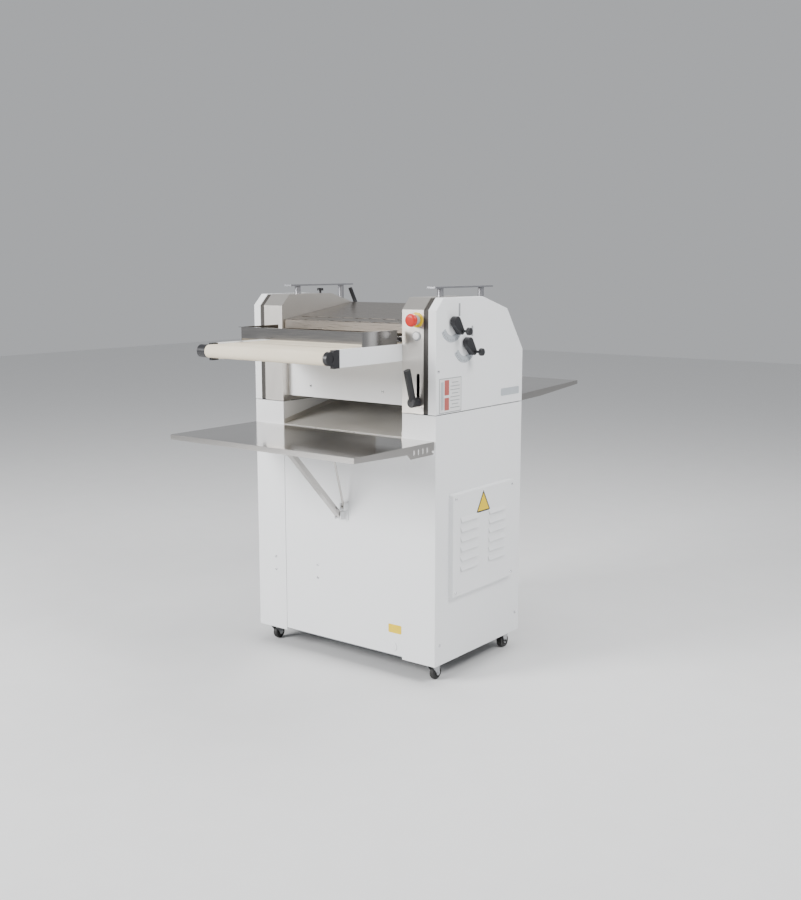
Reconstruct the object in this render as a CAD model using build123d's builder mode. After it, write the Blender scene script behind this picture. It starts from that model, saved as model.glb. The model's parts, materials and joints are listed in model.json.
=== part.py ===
"""Dough sheeter on castors: a belt feeds two pairs of rollers, and the sheet slides down a chute.

Millimetres, +Z up, front towards -Y, levers on the +X side, floor at z = 0.
The drawing is centred on the cabinet; piece() moves everything sideways by half the levers'
overhang, so that the origin lies under the middle of the whole machine.
"""

from build123d import *
from math import atan2, cos, degrees, radians, sin
import os

os.makedirs("parts", exist_ok=True)

# ---- cabinet and head -------------------------------------------------------------------------
WIDTH = 750.0  # across the outer covers
DEPTH = 492.0  # front face to rear face
CASE_BOTTOM = 60.0  # lowest edge of the cabinet above the floor
SEAM_Z = 850.0  # joint between cabinet and head
SEAM_GAP = 2.0
HEAD_TOP = 1200.0
SHEET = 2.0  # painted steel sheet
STAINLESS = 1.5  # stainless sheet
THROAT = 496.0  # clear width between the cheeks
COVER_DEPTH = 29.0  # thickness of the outer head covers
SEAL_WIDTH = 18.0  # black gap between cheek and outer cover
SEAL_LAP = 4.0  # how far the seal reaches under the sheets on either side
SEAL_DEPTH = 14.0
BEND = 2.5  # outside radius of a folded edge

# head outline: run back from the front face, drop down from the top
NOSE_RUN, NOSE_DROP = 36.5, 36.0
FLAT_RUN = 0.507 * DEPTH
BREAK_RUN, BREAK_DROP = 0.8005 * DEPTH, 41.5
BACK_DROP = 177.0

# ---- frame, castors ---------------------------------------------------------------------------
ANGLE = 30.0  # leg of the frame's angle iron
ANGLE_WALL = 3.0
FRAME_BOTTOM = 64.0
FRAME_TOP = 730.0
FRAME_GAP = 3 * SHEET  # frame stands back from the panels
PLATE = 10.0  # side plates that carry the rollers
PLATE_GAP = 2.0  # behind the cheek's inner wall
CASTOR_PLATE = 60.0
CASTOR_DISC_R = 20.0
WHEEL_R = 22.5
WHEEL_WIDTH = 18.0
CASTOR_TRAIL = 14.0
CASTOR_INSET = 5.0  # castor plate from the frame's corner
AXLE_R = 4.0

# ---- fits -------------------------------------------------------------------------------------
RUN = 0.05  # radial running clearance
KEYED = 0.02  # hub on its own shaft
SLIDE = 0.3  # beside a sliding block or a belt
CLEAR = 1.0  # between parts that never touch

# ---- rollers ----------------------------------------------------------------------------------
ROLLER_R = 28.0
NIP = 2.0  # roller gap with the lever at rest
GAP_TRAVEL = 12.0
JOURNAL_R = 12.0
GEAR_SHAFT_R = 10.0
BEARING_R = 20.0
BLOCK = 40.0  # sliding bearing block, square
LOWER_Y, LOWER_Z = -72.0, 1031.0
REAR_Y, REAR_Z = 65.0, 985.0
ROLLER_END_GAP = 4.0
ROLLER_PITCH = 2 * ROLLER_R + NIP

# ---- infeed belt ------------------------------------------------------------------------------
BELT_WIDTH = 476.0
BELT = 2.0
BELT_ROLLER_R = 18.0
BELT_FRONT_Y = -583.0
BELT_DRIVE_Y = -132.0
BELT_Z = 1036.0
BELT_JOURNAL_R = 8.0
BELT_BEARING_R = 14.0
NOSE_JOURNAL_R = 6.0
RAIL_THICK = 8.0
RAIL_FRONT_Y = -544.0
RAIL_BACK_Y = -146.0
RAIL_LOW, RAIL_HIGH = 1008.0, 1060.0
BED = 3.0
CAP_LENGTH = 26.0
CAP_R = 20.0
CAP_PROUD = {"left": 24.0, "right": 4.0}  # the left one carries the belt tensioner

# ---- drive ------------------------------------------------------------------------------------
CHAIN_PITCH = 12.7
CHAIN = 6.0
GEAR_TEETH, WHEEL_TEETH = 14, 36
BELT_TEETH, ROLLER_TEETH, MOTOR_TEETH = 10, 14, 18
GEAR_WIDTH = 10.0
SPROCKET_WIDTH = 7.0
GEARBOX = (120.0, 120.0, 140.0)
GEARBOX_X = -170.0
MOTOR_R, MOTOR_LENGTH = 62.0, 250.0

# ---- trays ------------------------------------------------------------------------------------
TRAY_WIDTH = 746.0
TRAY_REACH = 630.0  # far edge of either tray from the middle of the machine
TRAY_Z = 772.0
TRAY_LIP = 16.0
TRAY_FLANGE = 39.0
FLANGE_LENGTH = 118.0
HINGE_Y, HINGE_Z = -DEPTH / 2 - 13.0, TRAY_Z - 30.0
HINGE_PIN_R = 4.0
REAR_TRAY_Z = 872.0
REAR_TRAY_RISE = 15.0
REAR_FLANGE = 22.0
CHUTE_FRONT_Z, CHUTE_BACK_Z = 774.0, 868.0
CHUTE_WALL = 15.0

# ---- strut under the front tray ---------------------------------------------------------------
STRUT_Y, STRUT_Z = -DEPTH / 2 - 12.0, 497.0
STRUT_LEAN = 44.0
STRUT_LENGTH = (TRAY_Z - 31.0 - STRUT_Z) / cos(radians(STRUT_LEAN))
STRUT_WIDTH = 20.0
STRUT_DEPTH = 15.0
ROD_Z = 528.0
ROD_LEAN = 15.5
ROD_LENGTH = (TRAY_Z - 13.0 - ROD_Z) / cos(radians(ROD_LEAN))
ROD_R = 3.5
ROD_X = 20.0
EAR = 3.0

# ---- guard, guide frame, pressure board -------------------------------------------------------
GUARD_BACK_Y, GUARD_BACK_Z = 112.0, 1168.0
GUARD_FRONT_Y, GUARD_FRONT_Z = -236.0, 1119.0
GUARD_SKIRT_Z = 1092.0
GUARD_PIN_R = 5.0
GUARD_GAP = 3.0
SLOT_LENGTH, SLOT_PITCH, SLOT_WIDTH, SLOT_COUNT = 48.0, 57.0, 13.0, 8
GUIDE_FRONT_Y, GUIDE_BACK_Y = -436.0, -268.0
GUIDE_TOP = 1104.0
GUIDE_LIP = 6.0
BOARD_TRAVEL = 80.0
CLAMP_X, CLAMP_Z = 308.0, 887.0
CLAMP_STUD_R = 5.0
BOARD_FRONT_Z = 870.0
BOARD_LENGTH = 130.0
PANEL_BACK = 28.0  # infeed panel behind the front face
PANEL_LOW_Z = 868.0
ARM_BACK = 42.0  # arm of the pressure board behind the front face

# ---- controls on the right side ---------------------------------------------------------------
LEVER_UPPER = (-165.0, 1128.0)  # (y, z) of the pivots
LEVER_LOWER = (-96.0, 1062.0)
LEVER_ANGLE = -50.0
LEVER_REACH = 38.0
LEVER_HEAD_R, LEVER_TIP_R = 16.5, 11.0
LEVER_THICK = 18.0
LEVER_STANDOFF = 5.0
LEVER_SHAFT_R = 6.0
PLUNGER_R = 4.0
PLUNGER_KNOB_R = 12.0
PLUNGER_KNOB = 13.0  # thickness of its knob
PLUNGER_PROUD = 30.0
SCALE_IN, SCALE_OUT = 42.0, 62.0
SCALE_START, SCALE_END = -150.0, -40.0
CONTROL_X = 303.0
ESTOP_Z, ESTOP_R = 1134.0, 20.0
START_Z, START_R = 1086.0, 11.0

# ---- rails on top -----------------------------------------------------------------------------
TOP_RAIL_X = 296.0
TOP_RAIL_Z = 1231.0
TOP_RAIL = (30.0, 324.0, 5.0)
TOP_RAIL_Y = -2.5
POST_R = 10.0
POST_Y = 113.0  # posts from the middle of the rail

# ---- louvred cover ----------------------------------------------------------------------------
LOUVRE_COVER = (352.0, 327.0, 18.0)  # along y, along z, standing out
LOUVRE_COVER_Z = 433.0
LOUVRE_SIZE = (96.0, 16.0)
LOUVRE_ROWS, LOUVRE_STEP = 6, 31.0
LOUVRE_COLUMNS = (-88.0, 72.0)
LOUVRE_LOW_Z = 350.0

SCREW_R, SCREW_HEAD = 4.5, 2.5

# ---- worked out from the above ----------------------------------------------------------------
HALF = WIDTH / 2
FRONT, BACK = -DEPTH / 2, DEPTH / 2
CHEEK_X = THROAT / 2
COVER_X = HALF - COVER_DEPTH
SEAL_X = COVER_X - SEAL_WIDTH
CASE_TOP = SEAM_Z - SEAM_GAP
PLATE_X = CHEEK_X + SHEET + PLATE_GAP
PLATE_OUT = PLATE_X + PLATE
UPPER_Z = LOWER_Z + ROLLER_PITCH
MIDDLE_Y = REAR_Y - ROLLER_PITCH
ROLLER_HALF = CHEEK_X - ROLLER_END_GAP
LEVER_BACK_X = HALF + LEVER_STANDOFF
LEVER_FACE_X = LEVER_BACK_X + LEVER_THICK
# how much further the levers reach out than the screw heads on the other side
OVERHANG = LEVER_FACE_X + PLUNGER_PROUD - HALF - SCREW_HEAD
FRAME_Y = BACK - FRAME_GAP
FRAME_X = HALF - SHEET
# planes of the drive on the left, outwards from the side plate
GEAR_X = -(PLATE_OUT + 4.0)
BELT_CHAIN_X = GEAR_X - GEAR_WIDTH - 6.0
WHEEL_X = BELT_CHAIN_X - SPROCKET_WIDTH - 10.0
MOTOR_CHAIN_X = WHEEL_X - GEAR_WIDTH - 6.0
MOTOR_Z = FRAME_BOTTOM + ANGLE + 6.0 + GEARBOX[2] / 2

SIDES = ((-1, "left"), (1, "right"))


def piece(part, label):
    """Name a finished piece and write it, moved so that the machine's box is centred."""
    part.label = label
    shifted = part.moved(Location((-OVERHANG / 2, 0, 0)))
    shifted.label = label
    export_step(shifted, f"parts/{label}.step")


def block(x0, x1, y0, y1, z0, z1, mode=Mode.ADD):
    """A box given by its limits; x0 and x1 may come in either order."""
    with Locations(((x0 + x1) / 2, (y0 + y1) / 2, (z0 + z1) / 2)):
        Box(abs(x1 - x0), abs(y1 - y0), abs(z1 - z0), mode=mode)


def bar(radius, x0, x1, y, z, mode=Mode.ADD):
    """A round bar along X between x0 and x1."""
    with Locations(Location(((x0 + x1) / 2, y, z), (0, 90, 0))):
        Cylinder(radius, abs(x1 - x0), mode=mode)


def stud(radius, y0, y1, x, z, mode=Mode.ADD):
    """A round bar along Y between y0 and y1."""
    with Locations(Location((x, (y0 + y1) / 2, z), (90, 0, 0))):
        Cylinder(radius, abs(y1 - y0), mode=mode)


def post(radius, z0, z1, x, y, mode=Mode.ADD):
    """A round bar along Z between z0 and z1."""
    with Locations((x, y, (z0 + z1) / 2)):
        Cylinder(radius, abs(z1 - z0), mode=mode)


def polygon(points):
    """A flat face in the XY plane from its corners."""
    with BuildSketch() as flat:
        with BuildLine():
            Polyline(*points, close=True)
        make_face()
    return flat.sketch


def head_outline(inset=0.0, bottom=SEAM_Z):
    """Six-sided side view of the head as (y, z), moved inwards by inset."""
    corners = [
        (FRONT, bottom),
        (FRONT, HEAD_TOP - NOSE_DROP),
        (FRONT + NOSE_RUN, HEAD_TOP),
        (FRONT + FLAT_RUN, HEAD_TOP),
        (FRONT + BREAK_RUN, HEAD_TOP - BREAK_DROP),
        (BACK, HEAD_TOP - BACK_DROP),
        (BACK, bottom),
    ]
    with BuildSketch() as outline:
        add(polygon(corners))
        if inset:
            offset(amount=-inset, kind=Kind.INTERSECTION)
    return outline.sketch


def head_height(y):
    """Height of the head's top at y."""
    if y <= FRONT + FLAT_RUN:
        return HEAD_TOP
    if y <= FRONT + BREAK_RUN:
        return HEAD_TOP - BREAK_DROP * (y - FRONT - FLAT_RUN) / (BREAK_RUN - FLAT_RUN)
    slope = (BACK_DROP - BREAK_DROP) / (DEPTH - BREAK_RUN)
    return HEAD_TOP - BREAK_DROP - slope * (y - FRONT - BREAK_RUN)


def toothed(teeth, tip_r, root_r, first, tip_share=0.25, root_share=0.6):
    """Face of a wheel with straight-sided teeth, the first of them pointing at first degrees."""
    corners = []
    half_pitch = 180 / teeth
    for tooth in range(teeth):
        middle = first + tooth * 360 / teeth
        flank = ((root_r, -root_share), (tip_r, -tip_share), (tip_r, tip_share), (root_r, root_share))
        for radius, share in flank:
            angle = radians(middle + share * half_pitch)
            corners.append((radius * cos(angle), radius * sin(angle)))
    return polygon(corners)


def gear_face(teeth, pitch_r, first):
    """Gear whose teeth leave backlash and root clearance."""
    module = 2 * pitch_r / teeth
    return toothed(teeth, pitch_r + 0.9 * module, pitch_r - 1.15 * module, first)


def sprocket_r(teeth):
    """Pitch radius of a chain wheel."""
    return CHAIN_PITCH / 2 / sin(radians(180 / teeth))


def sprocket_face(teeth):
    """Chain wheel with its teeth inside the chain's bushes."""
    pitch_r = sprocket_r(teeth)
    return toothed(teeth, pitch_r, pitch_r - 4.0, 0.0, 0.2, 0.7)


# ---- frame ------------------------------------------------------------------------------------
with BuildPart() as base_frame:
    for low, flange_z in ((FRAME_BOTTOM, FRAME_BOTTOM), (FRAME_TOP - ANGLE, FRAME_TOP - ANGLE_WALL)):
        block(-FRAME_X, FRAME_X, -FRAME_Y, FRAME_Y, low, low + ANGLE)
        block(
            -FRAME_X + ANGLE_WALL,
            FRAME_X - ANGLE_WALL,
            -FRAME_Y + ANGLE_WALL,
            FRAME_Y - ANGLE_WALL,
            low,
            low + ANGLE,
            Mode.SUBTRACT,
        )
        with BuildSketch(Plane.XY.offset(flange_z)):
            Rectangle(2 * FRAME_X, 2 * FRAME_Y)
            Rectangle(2 * (FRAME_X - ANGLE), 2 * (FRAME_Y - ANGLE), mode=Mode.SUBTRACT)
        extrude(amount=ANGLE_WALL)
    for sx in (-1, 1):
        for sy in (-1, 1):
            outer_x, outer_y = sx * FRAME_X, sy * FRAME_Y
            wall_x, wall_y = outer_x - sx * ANGLE_WALL, outer_y - sy * ANGLE_WALL
            block(outer_x, outer_x - sx * ANGLE, outer_y, wall_y, FRAME_BOTTOM, FRAME_TOP)
            block(outer_x, wall_x, outer_y, outer_y - sy * ANGLE, FRAME_BOTTOM, FRAME_TOP)
    # shelf for the gear motor
    shelf_z = FRAME_BOTTOM + ANGLE
    shelf_x0 = GEARBOX_X - GEARBOX[0] / 2 - 20.0
    shelf_x1 = GEARBOX_X + GEARBOX[0] / 2 + MOTOR_LENGTH
    block(shelf_x0, shelf_x1, -FRAME_Y, FRAME_Y, shelf_z, shelf_z + 6.0)
piece(base_frame.part, "base_frame")

# side plates: one per side, windows for the sliding blocks, holes for the fixed bearings
with BuildPart() as side_plates:
    for sx, _ in SIDES:
        with BuildSketch(Plane.YZ.offset(sx * PLATE_X)):
            add(head_outline(inset=16.0, bottom=FRAME_TOP - 16.0))
            # clear of the pressure board's arm
            with Locations((FRONT, (FRAME_TOP + HEAD_TOP) / 2)):
                Rectangle(2 * (ARM_BACK + 11.0), HEAD_TOP - FRAME_TOP + 40.0, mode=Mode.SUBTRACT)
            with Locations((LOWER_Y, LOWER_Z), (REAR_Y, REAR_Z)):
                Circle(BEARING_R, mode=Mode.SUBTRACT)
            with Locations((BELT_DRIVE_Y, BELT_Z)):
                Circle(BELT_BEARING_R, mode=Mode.SUBTRACT)
            with Locations((LOWER_Y, UPPER_Z + GAP_TRAVEL / 2)):
                Rectangle(BLOCK + 2 * SLIDE, BLOCK + GAP_TRAVEL + 2 * SLIDE, mode=Mode.SUBTRACT)
            with Locations((MIDDLE_Y - GAP_TRAVEL / 2, REAR_Z)):
                Rectangle(BLOCK + GAP_TRAVEL + 2 * SLIDE, BLOCK + 2 * SLIDE, mode=Mode.SUBTRACT)
            if sx > 0:
                with Locations(LEVER_UPPER, LEVER_LOWER):
                    Circle(LEVER_SHAFT_R + RUN, mode=Mode.SUBTRACT)
        extrude(amount=sx * PLATE)
piece(side_plates.part, "side_plates")

# ---- cabinet casings --------------------------------------------------------------------------
for sx, side in SIDES:
    with BuildPart() as lower_case:
        with BuildSketch(Plane.XY.offset(CASE_BOTTOM)):
            with Locations((sx * (CHEEK_X + HALF) / 2, 0)):
                Rectangle(HALF - CHEEK_X, DEPTH)
            with Locations((sx * (CHEEK_X - SHEET + HALF - SHEET) / 2, 0)):
                Rectangle(HALF - CHEEK_X, DEPTH - 2 * SHEET, mode=Mode.SUBTRACT)
        extrude(amount=CASE_TOP - CASE_BOTTOM)
        outer_corners = lower_case.edges().filter_by(Axis.Z).filter_by_position(
            Axis.X, sx * HALF - 0.1, sx * HALF + 0.1
        )
        fillet(outer_corners, BEND)
        # inner wall beside the chute
        wall_low = FRAME_TOP + 12.0
        block(sx * CHEEK_X, sx * (CHEEK_X + SHEET), FRONT + SHEET, BACK - 2 * SHEET, wall_low, CASE_TOP)
    piece(lower_case.part, f"{side}_lower_case")

PANEL_X = CHEEK_X + 14.0  # panels lie behind the casings' flanges
PANEL_LOW = CASE_BOTTOM + 8.0
FRONT_PANEL_TOP = FRAME_TOP + 8.0
REAR_PANEL_TOP = SEAM_Z - 14.0
PLUG_X, PLUG_Z, PLUG_R = 212.0, 95.0, 14.0
GLAND_X, GLAND_Z, GLAND_R = 180.0, 130.0, 11.0

with BuildPart() as front_panel:
    block(-PANEL_X, PANEL_X, FRONT + SHEET, FRONT + 2 * SHEET, PANEL_LOW, FRONT_PANEL_TOP)
    stud(PLUG_R - 2.0, FRONT, FRONT + 3 * SHEET, PLUG_X, PLUG_Z, Mode.SUBTRACT)
with BuildPart() as plug:
    stud(PLUG_R, FRONT - 1.0, FRONT + SHEET, PLUG_X, PLUG_Z)
    stud(PLUG_R - 2.0 - KEYED, FRONT + SHEET, FRONT + 3 * SHEET, PLUG_X, PLUG_Z)
    fillet(plug.faces().sort_by(Axis.Y)[0].edges(), 1.0)
piece(Compound([front_panel.part.solid(), plug.part.solid()]), "front_panel")

with BuildPart() as rear_panel:
    block(-PANEL_X, PANEL_X, BACK - 2 * SHEET, BACK - SHEET, PANEL_LOW, REAR_PANEL_TOP)
    stud(GLAND_R, BACK - 3 * SHEET, BACK, GLAND_X, GLAND_Z, Mode.SUBTRACT)
with BuildPart() as gland:
    stud(GLAND_R - KEYED, BACK - 3 * SHEET - 8.0, BACK - SHEET, GLAND_X, GLAND_Z)
    with BuildSketch(Plane.XZ.offset(-(BACK - SHEET))):
        with Locations((GLAND_X, GLAND_Z)):
            RegularPolygon(GLAND_R + 5.0, 6)
    extrude(amount=-8.0)
    stud(GLAND_R, BACK - SHEET + 8.0, BACK - SHEET + 22.0, GLAND_X, GLAND_Z)
    dome = gland.faces().sort_by(Axis.Y)[-1].edges()
    fillet(dome, 5.0)
    stud(4.0, BACK - 40.0, BACK + 30.0, GLAND_X, GLAND_Z, Mode.SUBTRACT)
piece(Compound([rear_panel.part, gland.part]), "rear_panel")

with BuildPart() as infeed_panel:
    panel_y = FRONT + PANEL_BACK
    panel_low, panel_high = PANEL_LOW_Z, RAIL_LOW - 4.0
    block(-CHEEK_X, CHEEK_X, panel_y, panel_y + SHEET, panel_low, panel_high)
    for edge_z in (panel_low, panel_high - SHEET):
        block(-CHEEK_X, CHEEK_X, panel_y, panel_y + 8.0, edge_z, edge_z + SHEET)
piece(infeed_panel.part, "infeed_panel")

with BuildPart() as louvre_cover:
    cover_y, cover_z, cover_out = LOUVRE_COVER
    with BuildSketch(Plane.YZ.offset(HALF)):
        with Locations((0, LOUVRE_COVER_Z)):
            RectangleRounded(cover_y, cover_z, 4.0)
    extrude(amount=cover_out)
    fillet(louvre_cover.faces().sort_by(Axis.X)[-1].edges(), BEND)
    with BuildSketch(Plane.YZ.offset(HALF)):
        with Locations((0, LOUVRE_COVER_Z)):
            Rectangle(cover_y - 2 * SHEET, cover_z - 2 * SHEET)
    extrude(amount=cover_out - SHEET, mode=Mode.SUBTRACT)
    # each louvre is a long opening under a hood pressed outwards
    louvre_x = HALF + cover_out
    length, height = LOUVRE_SIZE
    for column in LOUVRE_COLUMNS:
        for row in range(LOUVRE_ROWS):
            low = LOUVRE_LOW_Z + row * LOUVRE_STEP
            y0, y1 = column - length / 2, column + length / 2
            block(louvre_x - SHEET, louvre_x, y0 + 3.0, y1 - 3.0, low, low + 6.0, Mode.SUBTRACT)
            with BuildSketch(Plane.XZ.offset(-y0)):
                add(polygon([(louvre_x, low + height), (louvre_x, low + height - SHEET),
                             (louvre_x + 4.0, low), (louvre_x + 5.5, low), (louvre_x + 5.5, low + 2.0)]))
            extrude(amount=-length)
piece(louvre_cover.part, "louvre_cover")

# ---- head casings -----------------------------------------------------------------------------
for sx, side in SIDES:
    with BuildPart() as outer_cover:
        with BuildSketch(Plane.YZ.offset(sx * COVER_X)):
            add(head_outline())
        extrude(amount=sx * COVER_DEPTH)
        fillet(outer_cover.faces().sort_by(Axis.X)[-1 if sx > 0 else 0].edges(), BEND)
        with BuildSketch(Plane.YZ.offset(sx * COVER_X)):
            add(head_outline(inset=SHEET))
        extrude(amount=sx * (COVER_DEPTH - SHEET), mode=Mode.SUBTRACT)
        if sx > 0:
            for pivot_y, pivot_z in (LEVER_UPPER, LEVER_LOWER):
                bar(LEVER_SHAFT_R + CLEAR, COVER_X, HALF + 5.0, pivot_y, pivot_z, Mode.SUBTRACT)
    piece(outer_cover.part, f"{side}_outer_cover")

with BuildPart() as gap_seals:
    for sx, _ in SIDES:
        with BuildSketch(Plane.YZ.offset(sx * (SEAL_X - SEAL_LAP))):
            add(head_outline(inset=SHEET))
            add(head_outline(inset=SHEET + SEAL_DEPTH), mode=Mode.SUBTRACT)
        extrude(amount=sx * (SEAL_WIDTH + 2 * SEAL_LAP))
piece(gap_seals.part, "gap_seals")

for sx, side in SIDES:
    with BuildPart() as cheek:
        with BuildSketch(Plane.YZ.offset(sx * CHEEK_X)):
            add(head_outline())
        extrude(amount=sx * (SEAL_X - CHEEK_X))
        with BuildSketch(Plane.YZ.offset(sx * (CHEEK_X + SHEET))):
            add(head_outline(inset=SHEET, bottom=SEAM_Z - 4 * SHEET))
        extrude(amount=sx * (SEAL_X - CHEEK_X), mode=Mode.SUBTRACT)
        # openings in the inner wall: journals with their travel, guard pin, pressure board arm
        with BuildSketch(Plane.YZ.offset(sx * CHEEK_X)):
            with Locations((LOWER_Y, LOWER_Z), (REAR_Y, REAR_Z)):
                Circle(JOURNAL_R + CLEAR)
            with Locations((BELT_DRIVE_Y, BELT_Z)):
                Circle(BELT_JOURNAL_R + CLEAR)
            with Locations((LOWER_Y, UPPER_Z + GAP_TRAVEL / 2)):
                SlotCenterToCenter(GAP_TRAVEL, 2 * (JOURNAL_R + CLEAR), rotation=90)
            with Locations((MIDDLE_Y - GAP_TRAVEL / 2, REAR_Z)):
                SlotCenterToCenter(GAP_TRAVEL, 2 * (JOURNAL_R + CLEAR))
            with Locations((GUARD_BACK_Y, GUARD_BACK_Z - 2 * GUARD_PIN_R)):
                Circle(GUARD_PIN_R + RUN)
            with Locations((FRONT + ARM_BACK, CLAMP_Z + BOARD_TRAVEL / 2)):
                Rectangle(12.0 + CLEAR, BOARD_TRAVEL + 20.0 + 2 * CLEAR)
        extrude(amount=sx * SHEET, mode=Mode.SUBTRACT)
        if sx > 0:
            # holes in the front face: emergency stop, start button, slot for the clamp
            stud(9.0, FRONT - 1.0, FRONT + 2 * SHEET, CONTROL_X, ESTOP_Z, Mode.SUBTRACT)
            stud(START_R - 2.0, FRONT - 1.0, FRONT + 2 * SHEET, CONTROL_X, START_Z, Mode.SUBTRACT)
            with BuildSketch(Plane.XZ.offset(-FRONT)):
                with Locations((CLAMP_X, CLAMP_Z + BOARD_TRAVEL / 2)):
                    SlotCenterToCenter(BOARD_TRAVEL, 2 * (CLAMP_STUD_R + CLEAR), rotation=90)
            extrude(amount=-SHEET, mode=Mode.SUBTRACT)
    piece(cheek.part, f"{side}_cheek")

with BuildPart() as rear_hood:
    with BuildSketch(Plane.YZ.offset(-CHEEK_X)):
        add(head_outline(inset=SHEET, bottom=SEAM_Z + 60.0))
        add(head_outline(inset=2 * SHEET, bottom=SEAM_Z), mode=Mode.SUBTRACT)
        with Locations((FRONT, HEAD_TOP - 100.0)):
            Rectangle(2 * (GUARD_BACK_Y + 2 * GUARD_PIN_R + SHEET - FRONT), 600.0, mode=Mode.SUBTRACT)
    extrude(amount=THROAT)
piece(rear_hood.part, "rear_hood")

# ---- chute and trays --------------------------------------------------------------------------
with BuildPart() as chute:
    with BuildSketch(Plane.YZ.offset(-CHEEK_X)):
        add(polygon([(FRONT, CHUTE_FRONT_Z), (BACK, CHUTE_BACK_Z),
                     (BACK, CHUTE_BACK_Z - STAINLESS), (FRONT, CHUTE_FRONT_Z - STAINLESS)]))
    extrude(amount=THROAT)
    for sx, _ in SIDES:
        with BuildSketch(Plane.YZ.offset(sx * CHEEK_X)):
            add(polygon([(FRONT, CHUTE_FRONT_Z), (BACK, CHUTE_BACK_Z),
                         (BACK, CHUTE_BACK_Z + CHUTE_WALL), (FRONT, CHUTE_FRONT_Z + CHUTE_WALL)]))
        extrude(amount=-sx * STAINLESS)
piece(chute.part, "chute")

TRAY_BACK = FRONT - 6.0
with BuildPart() as front_tray:
    half_tray = TRAY_WIDTH / 2
    block(-half_tray, half_tray, -TRAY_REACH, TRAY_BACK, TRAY_Z - STAINLESS, TRAY_Z)
    block(-half_tray, half_tray, -TRAY_REACH, -TRAY_REACH + STAINLESS, TRAY_Z - TRAY_LIP, TRAY_Z)
    for sx, _ in SIDES:
        with BuildSketch(Plane.YZ.offset(sx * half_tray)):
            flange_y = TRAY_BACK - FLANGE_LENGTH
            add(polygon([(-TRAY_REACH, TRAY_Z), (TRAY_BACK, TRAY_Z),
                         (TRAY_BACK, TRAY_Z - TRAY_FLANGE + 5.0),
                         (TRAY_BACK - 5.0, TRAY_Z - TRAY_FLANGE), (flange_y, TRAY_Z - TRAY_FLANGE),
                         (flange_y - 16.0, TRAY_Z - TRAY_LIP - 8.0),
                         (-TRAY_REACH, TRAY_Z - TRAY_LIP)]))
            with Locations((HINGE_Y, HINGE_Z)):
                Circle(HINGE_PIN_R + RUN, mode=Mode.SUBTRACT)
            with Locations([(TRAY_BACK - 35.0 - 22.0 * slot, TRAY_Z - 22.0) for slot in range(4)]):
                SlotCenterToCenter(12.0, 6.0, rotation=90, mode=Mode.SUBTRACT)
        extrude(amount=-sx * STAINLESS)
    # catch lugs that the strut's free end comes up between
    catch_y = STRUT_Y - STRUT_LENGTH * sin(radians(STRUT_LEAN))
    for sx, _ in SIDES:
        lug_x = sx * (STRUT_WIDTH / 2 + CLEAR)
        block(lug_x, lug_x + sx * EAR, catch_y - 15.0, catch_y + 15.0, TRAY_Z - 28.0, TRAY_Z - STAINLESS)
piece(front_tray.part, "front_tray")

with BuildPart() as rear_tray:
    tray_y = BACK
    far_z = REAR_TRAY_Z + REAR_TRAY_RISE
    with BuildSketch(Plane.YZ.offset(-half_tray)):
        add(polygon([(tray_y, REAR_TRAY_Z), (TRAY_REACH, far_z), (TRAY_REACH, far_z - 13.0),
                     (TRAY_REACH - STAINLESS, far_z - 13.0), (TRAY_REACH - STAINLESS, far_z - STAINLESS),
                     (tray_y, REAR_TRAY_Z - STAINLESS)]))
    extrude(amount=TRAY_WIDTH)
    for sx, _ in SIDES:
        with BuildSketch(Plane.YZ.offset(sx * half_tray)):
            add(polygon([(tray_y, REAR_TRAY_Z), (TRAY_REACH, far_z), (TRAY_REACH, far_z - 13.0),
                         (tray_y + 120.0, REAR_TRAY_Z - REAR_FLANGE + 4.0),
                         (tray_y, REAR_TRAY_Z - REAR_FLANGE)]))
        extrude(amount=-sx * STAINLESS)
piece(rear_tray.part, "rear_tray")

# ears that carry the trays and the strut
with BuildPart() as tray_ears:
    for sx, _ in SIDES:
        ear_x = sx * (half_tray - STAINLESS - CLEAR)
        block(ear_x, ear_x - sx * 5.0, HINGE_Y - 9.0, FRONT, HINGE_Z - 12.0, HINGE_Z + 10.0)
        bar(HINGE_PIN_R, ear_x - sx * 5.0, sx * HALF, HINGE_Y, HINGE_Z)
    for sx, _ in SIDES:
        shelf_x = sx * (half_tray - STAINLESS - CLEAR)
        shelf_z = REAR_TRAY_Z - REAR_FLANGE
        block(shelf_x, shelf_x - sx * 40.0, BACK, BACK + 60.0, shelf_z, shelf_z + 3.0)
        block(shelf_x, shelf_x - sx * 40.0, BACK, BACK + 3.0, shelf_z, REAR_TRAY_Z - STAINLESS - CLEAR)
        block(shelf_x, shelf_x - sx * 3.0, BACK, BACK + 60.0, shelf_z, REAR_TRAY_Z - STAINLESS)
with BuildPart() as strut_bracket:
    plate_y = FRONT + SHEET
    ear_inner = STRUT_WIDTH / 2 + CLEAR
    block(-ear_inner - EAR, ROD_X + 9.0, plate_y - 3.0, plate_y, STRUT_Z - 15.0, ROD_Z + 17.0)
    ears = ((-ear_inner - EAR, STRUT_Z), (ear_inner, STRUT_Z), (ear_inner, ROD_Z), (ROD_X + 6.0, ROD_Z))
    for ear_x, ear_z in ears:
        block(ear_x, ear_x + EAR, STRUT_Y - 8.0, plate_y - 3.0, ear_z - 12.0, ear_z + 12.0)
    bar(HINGE_PIN_R, -ear_inner, ear_inner, STRUT_Y, STRUT_Z)
    bar(ROD_R, ear_inner, ROD_X + 6.0, STRUT_Y, ROD_Z)
piece(Compound([*tray_ears.part.solids(), *strut_bracket.part.solids()]), "tray_brackets")

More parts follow.
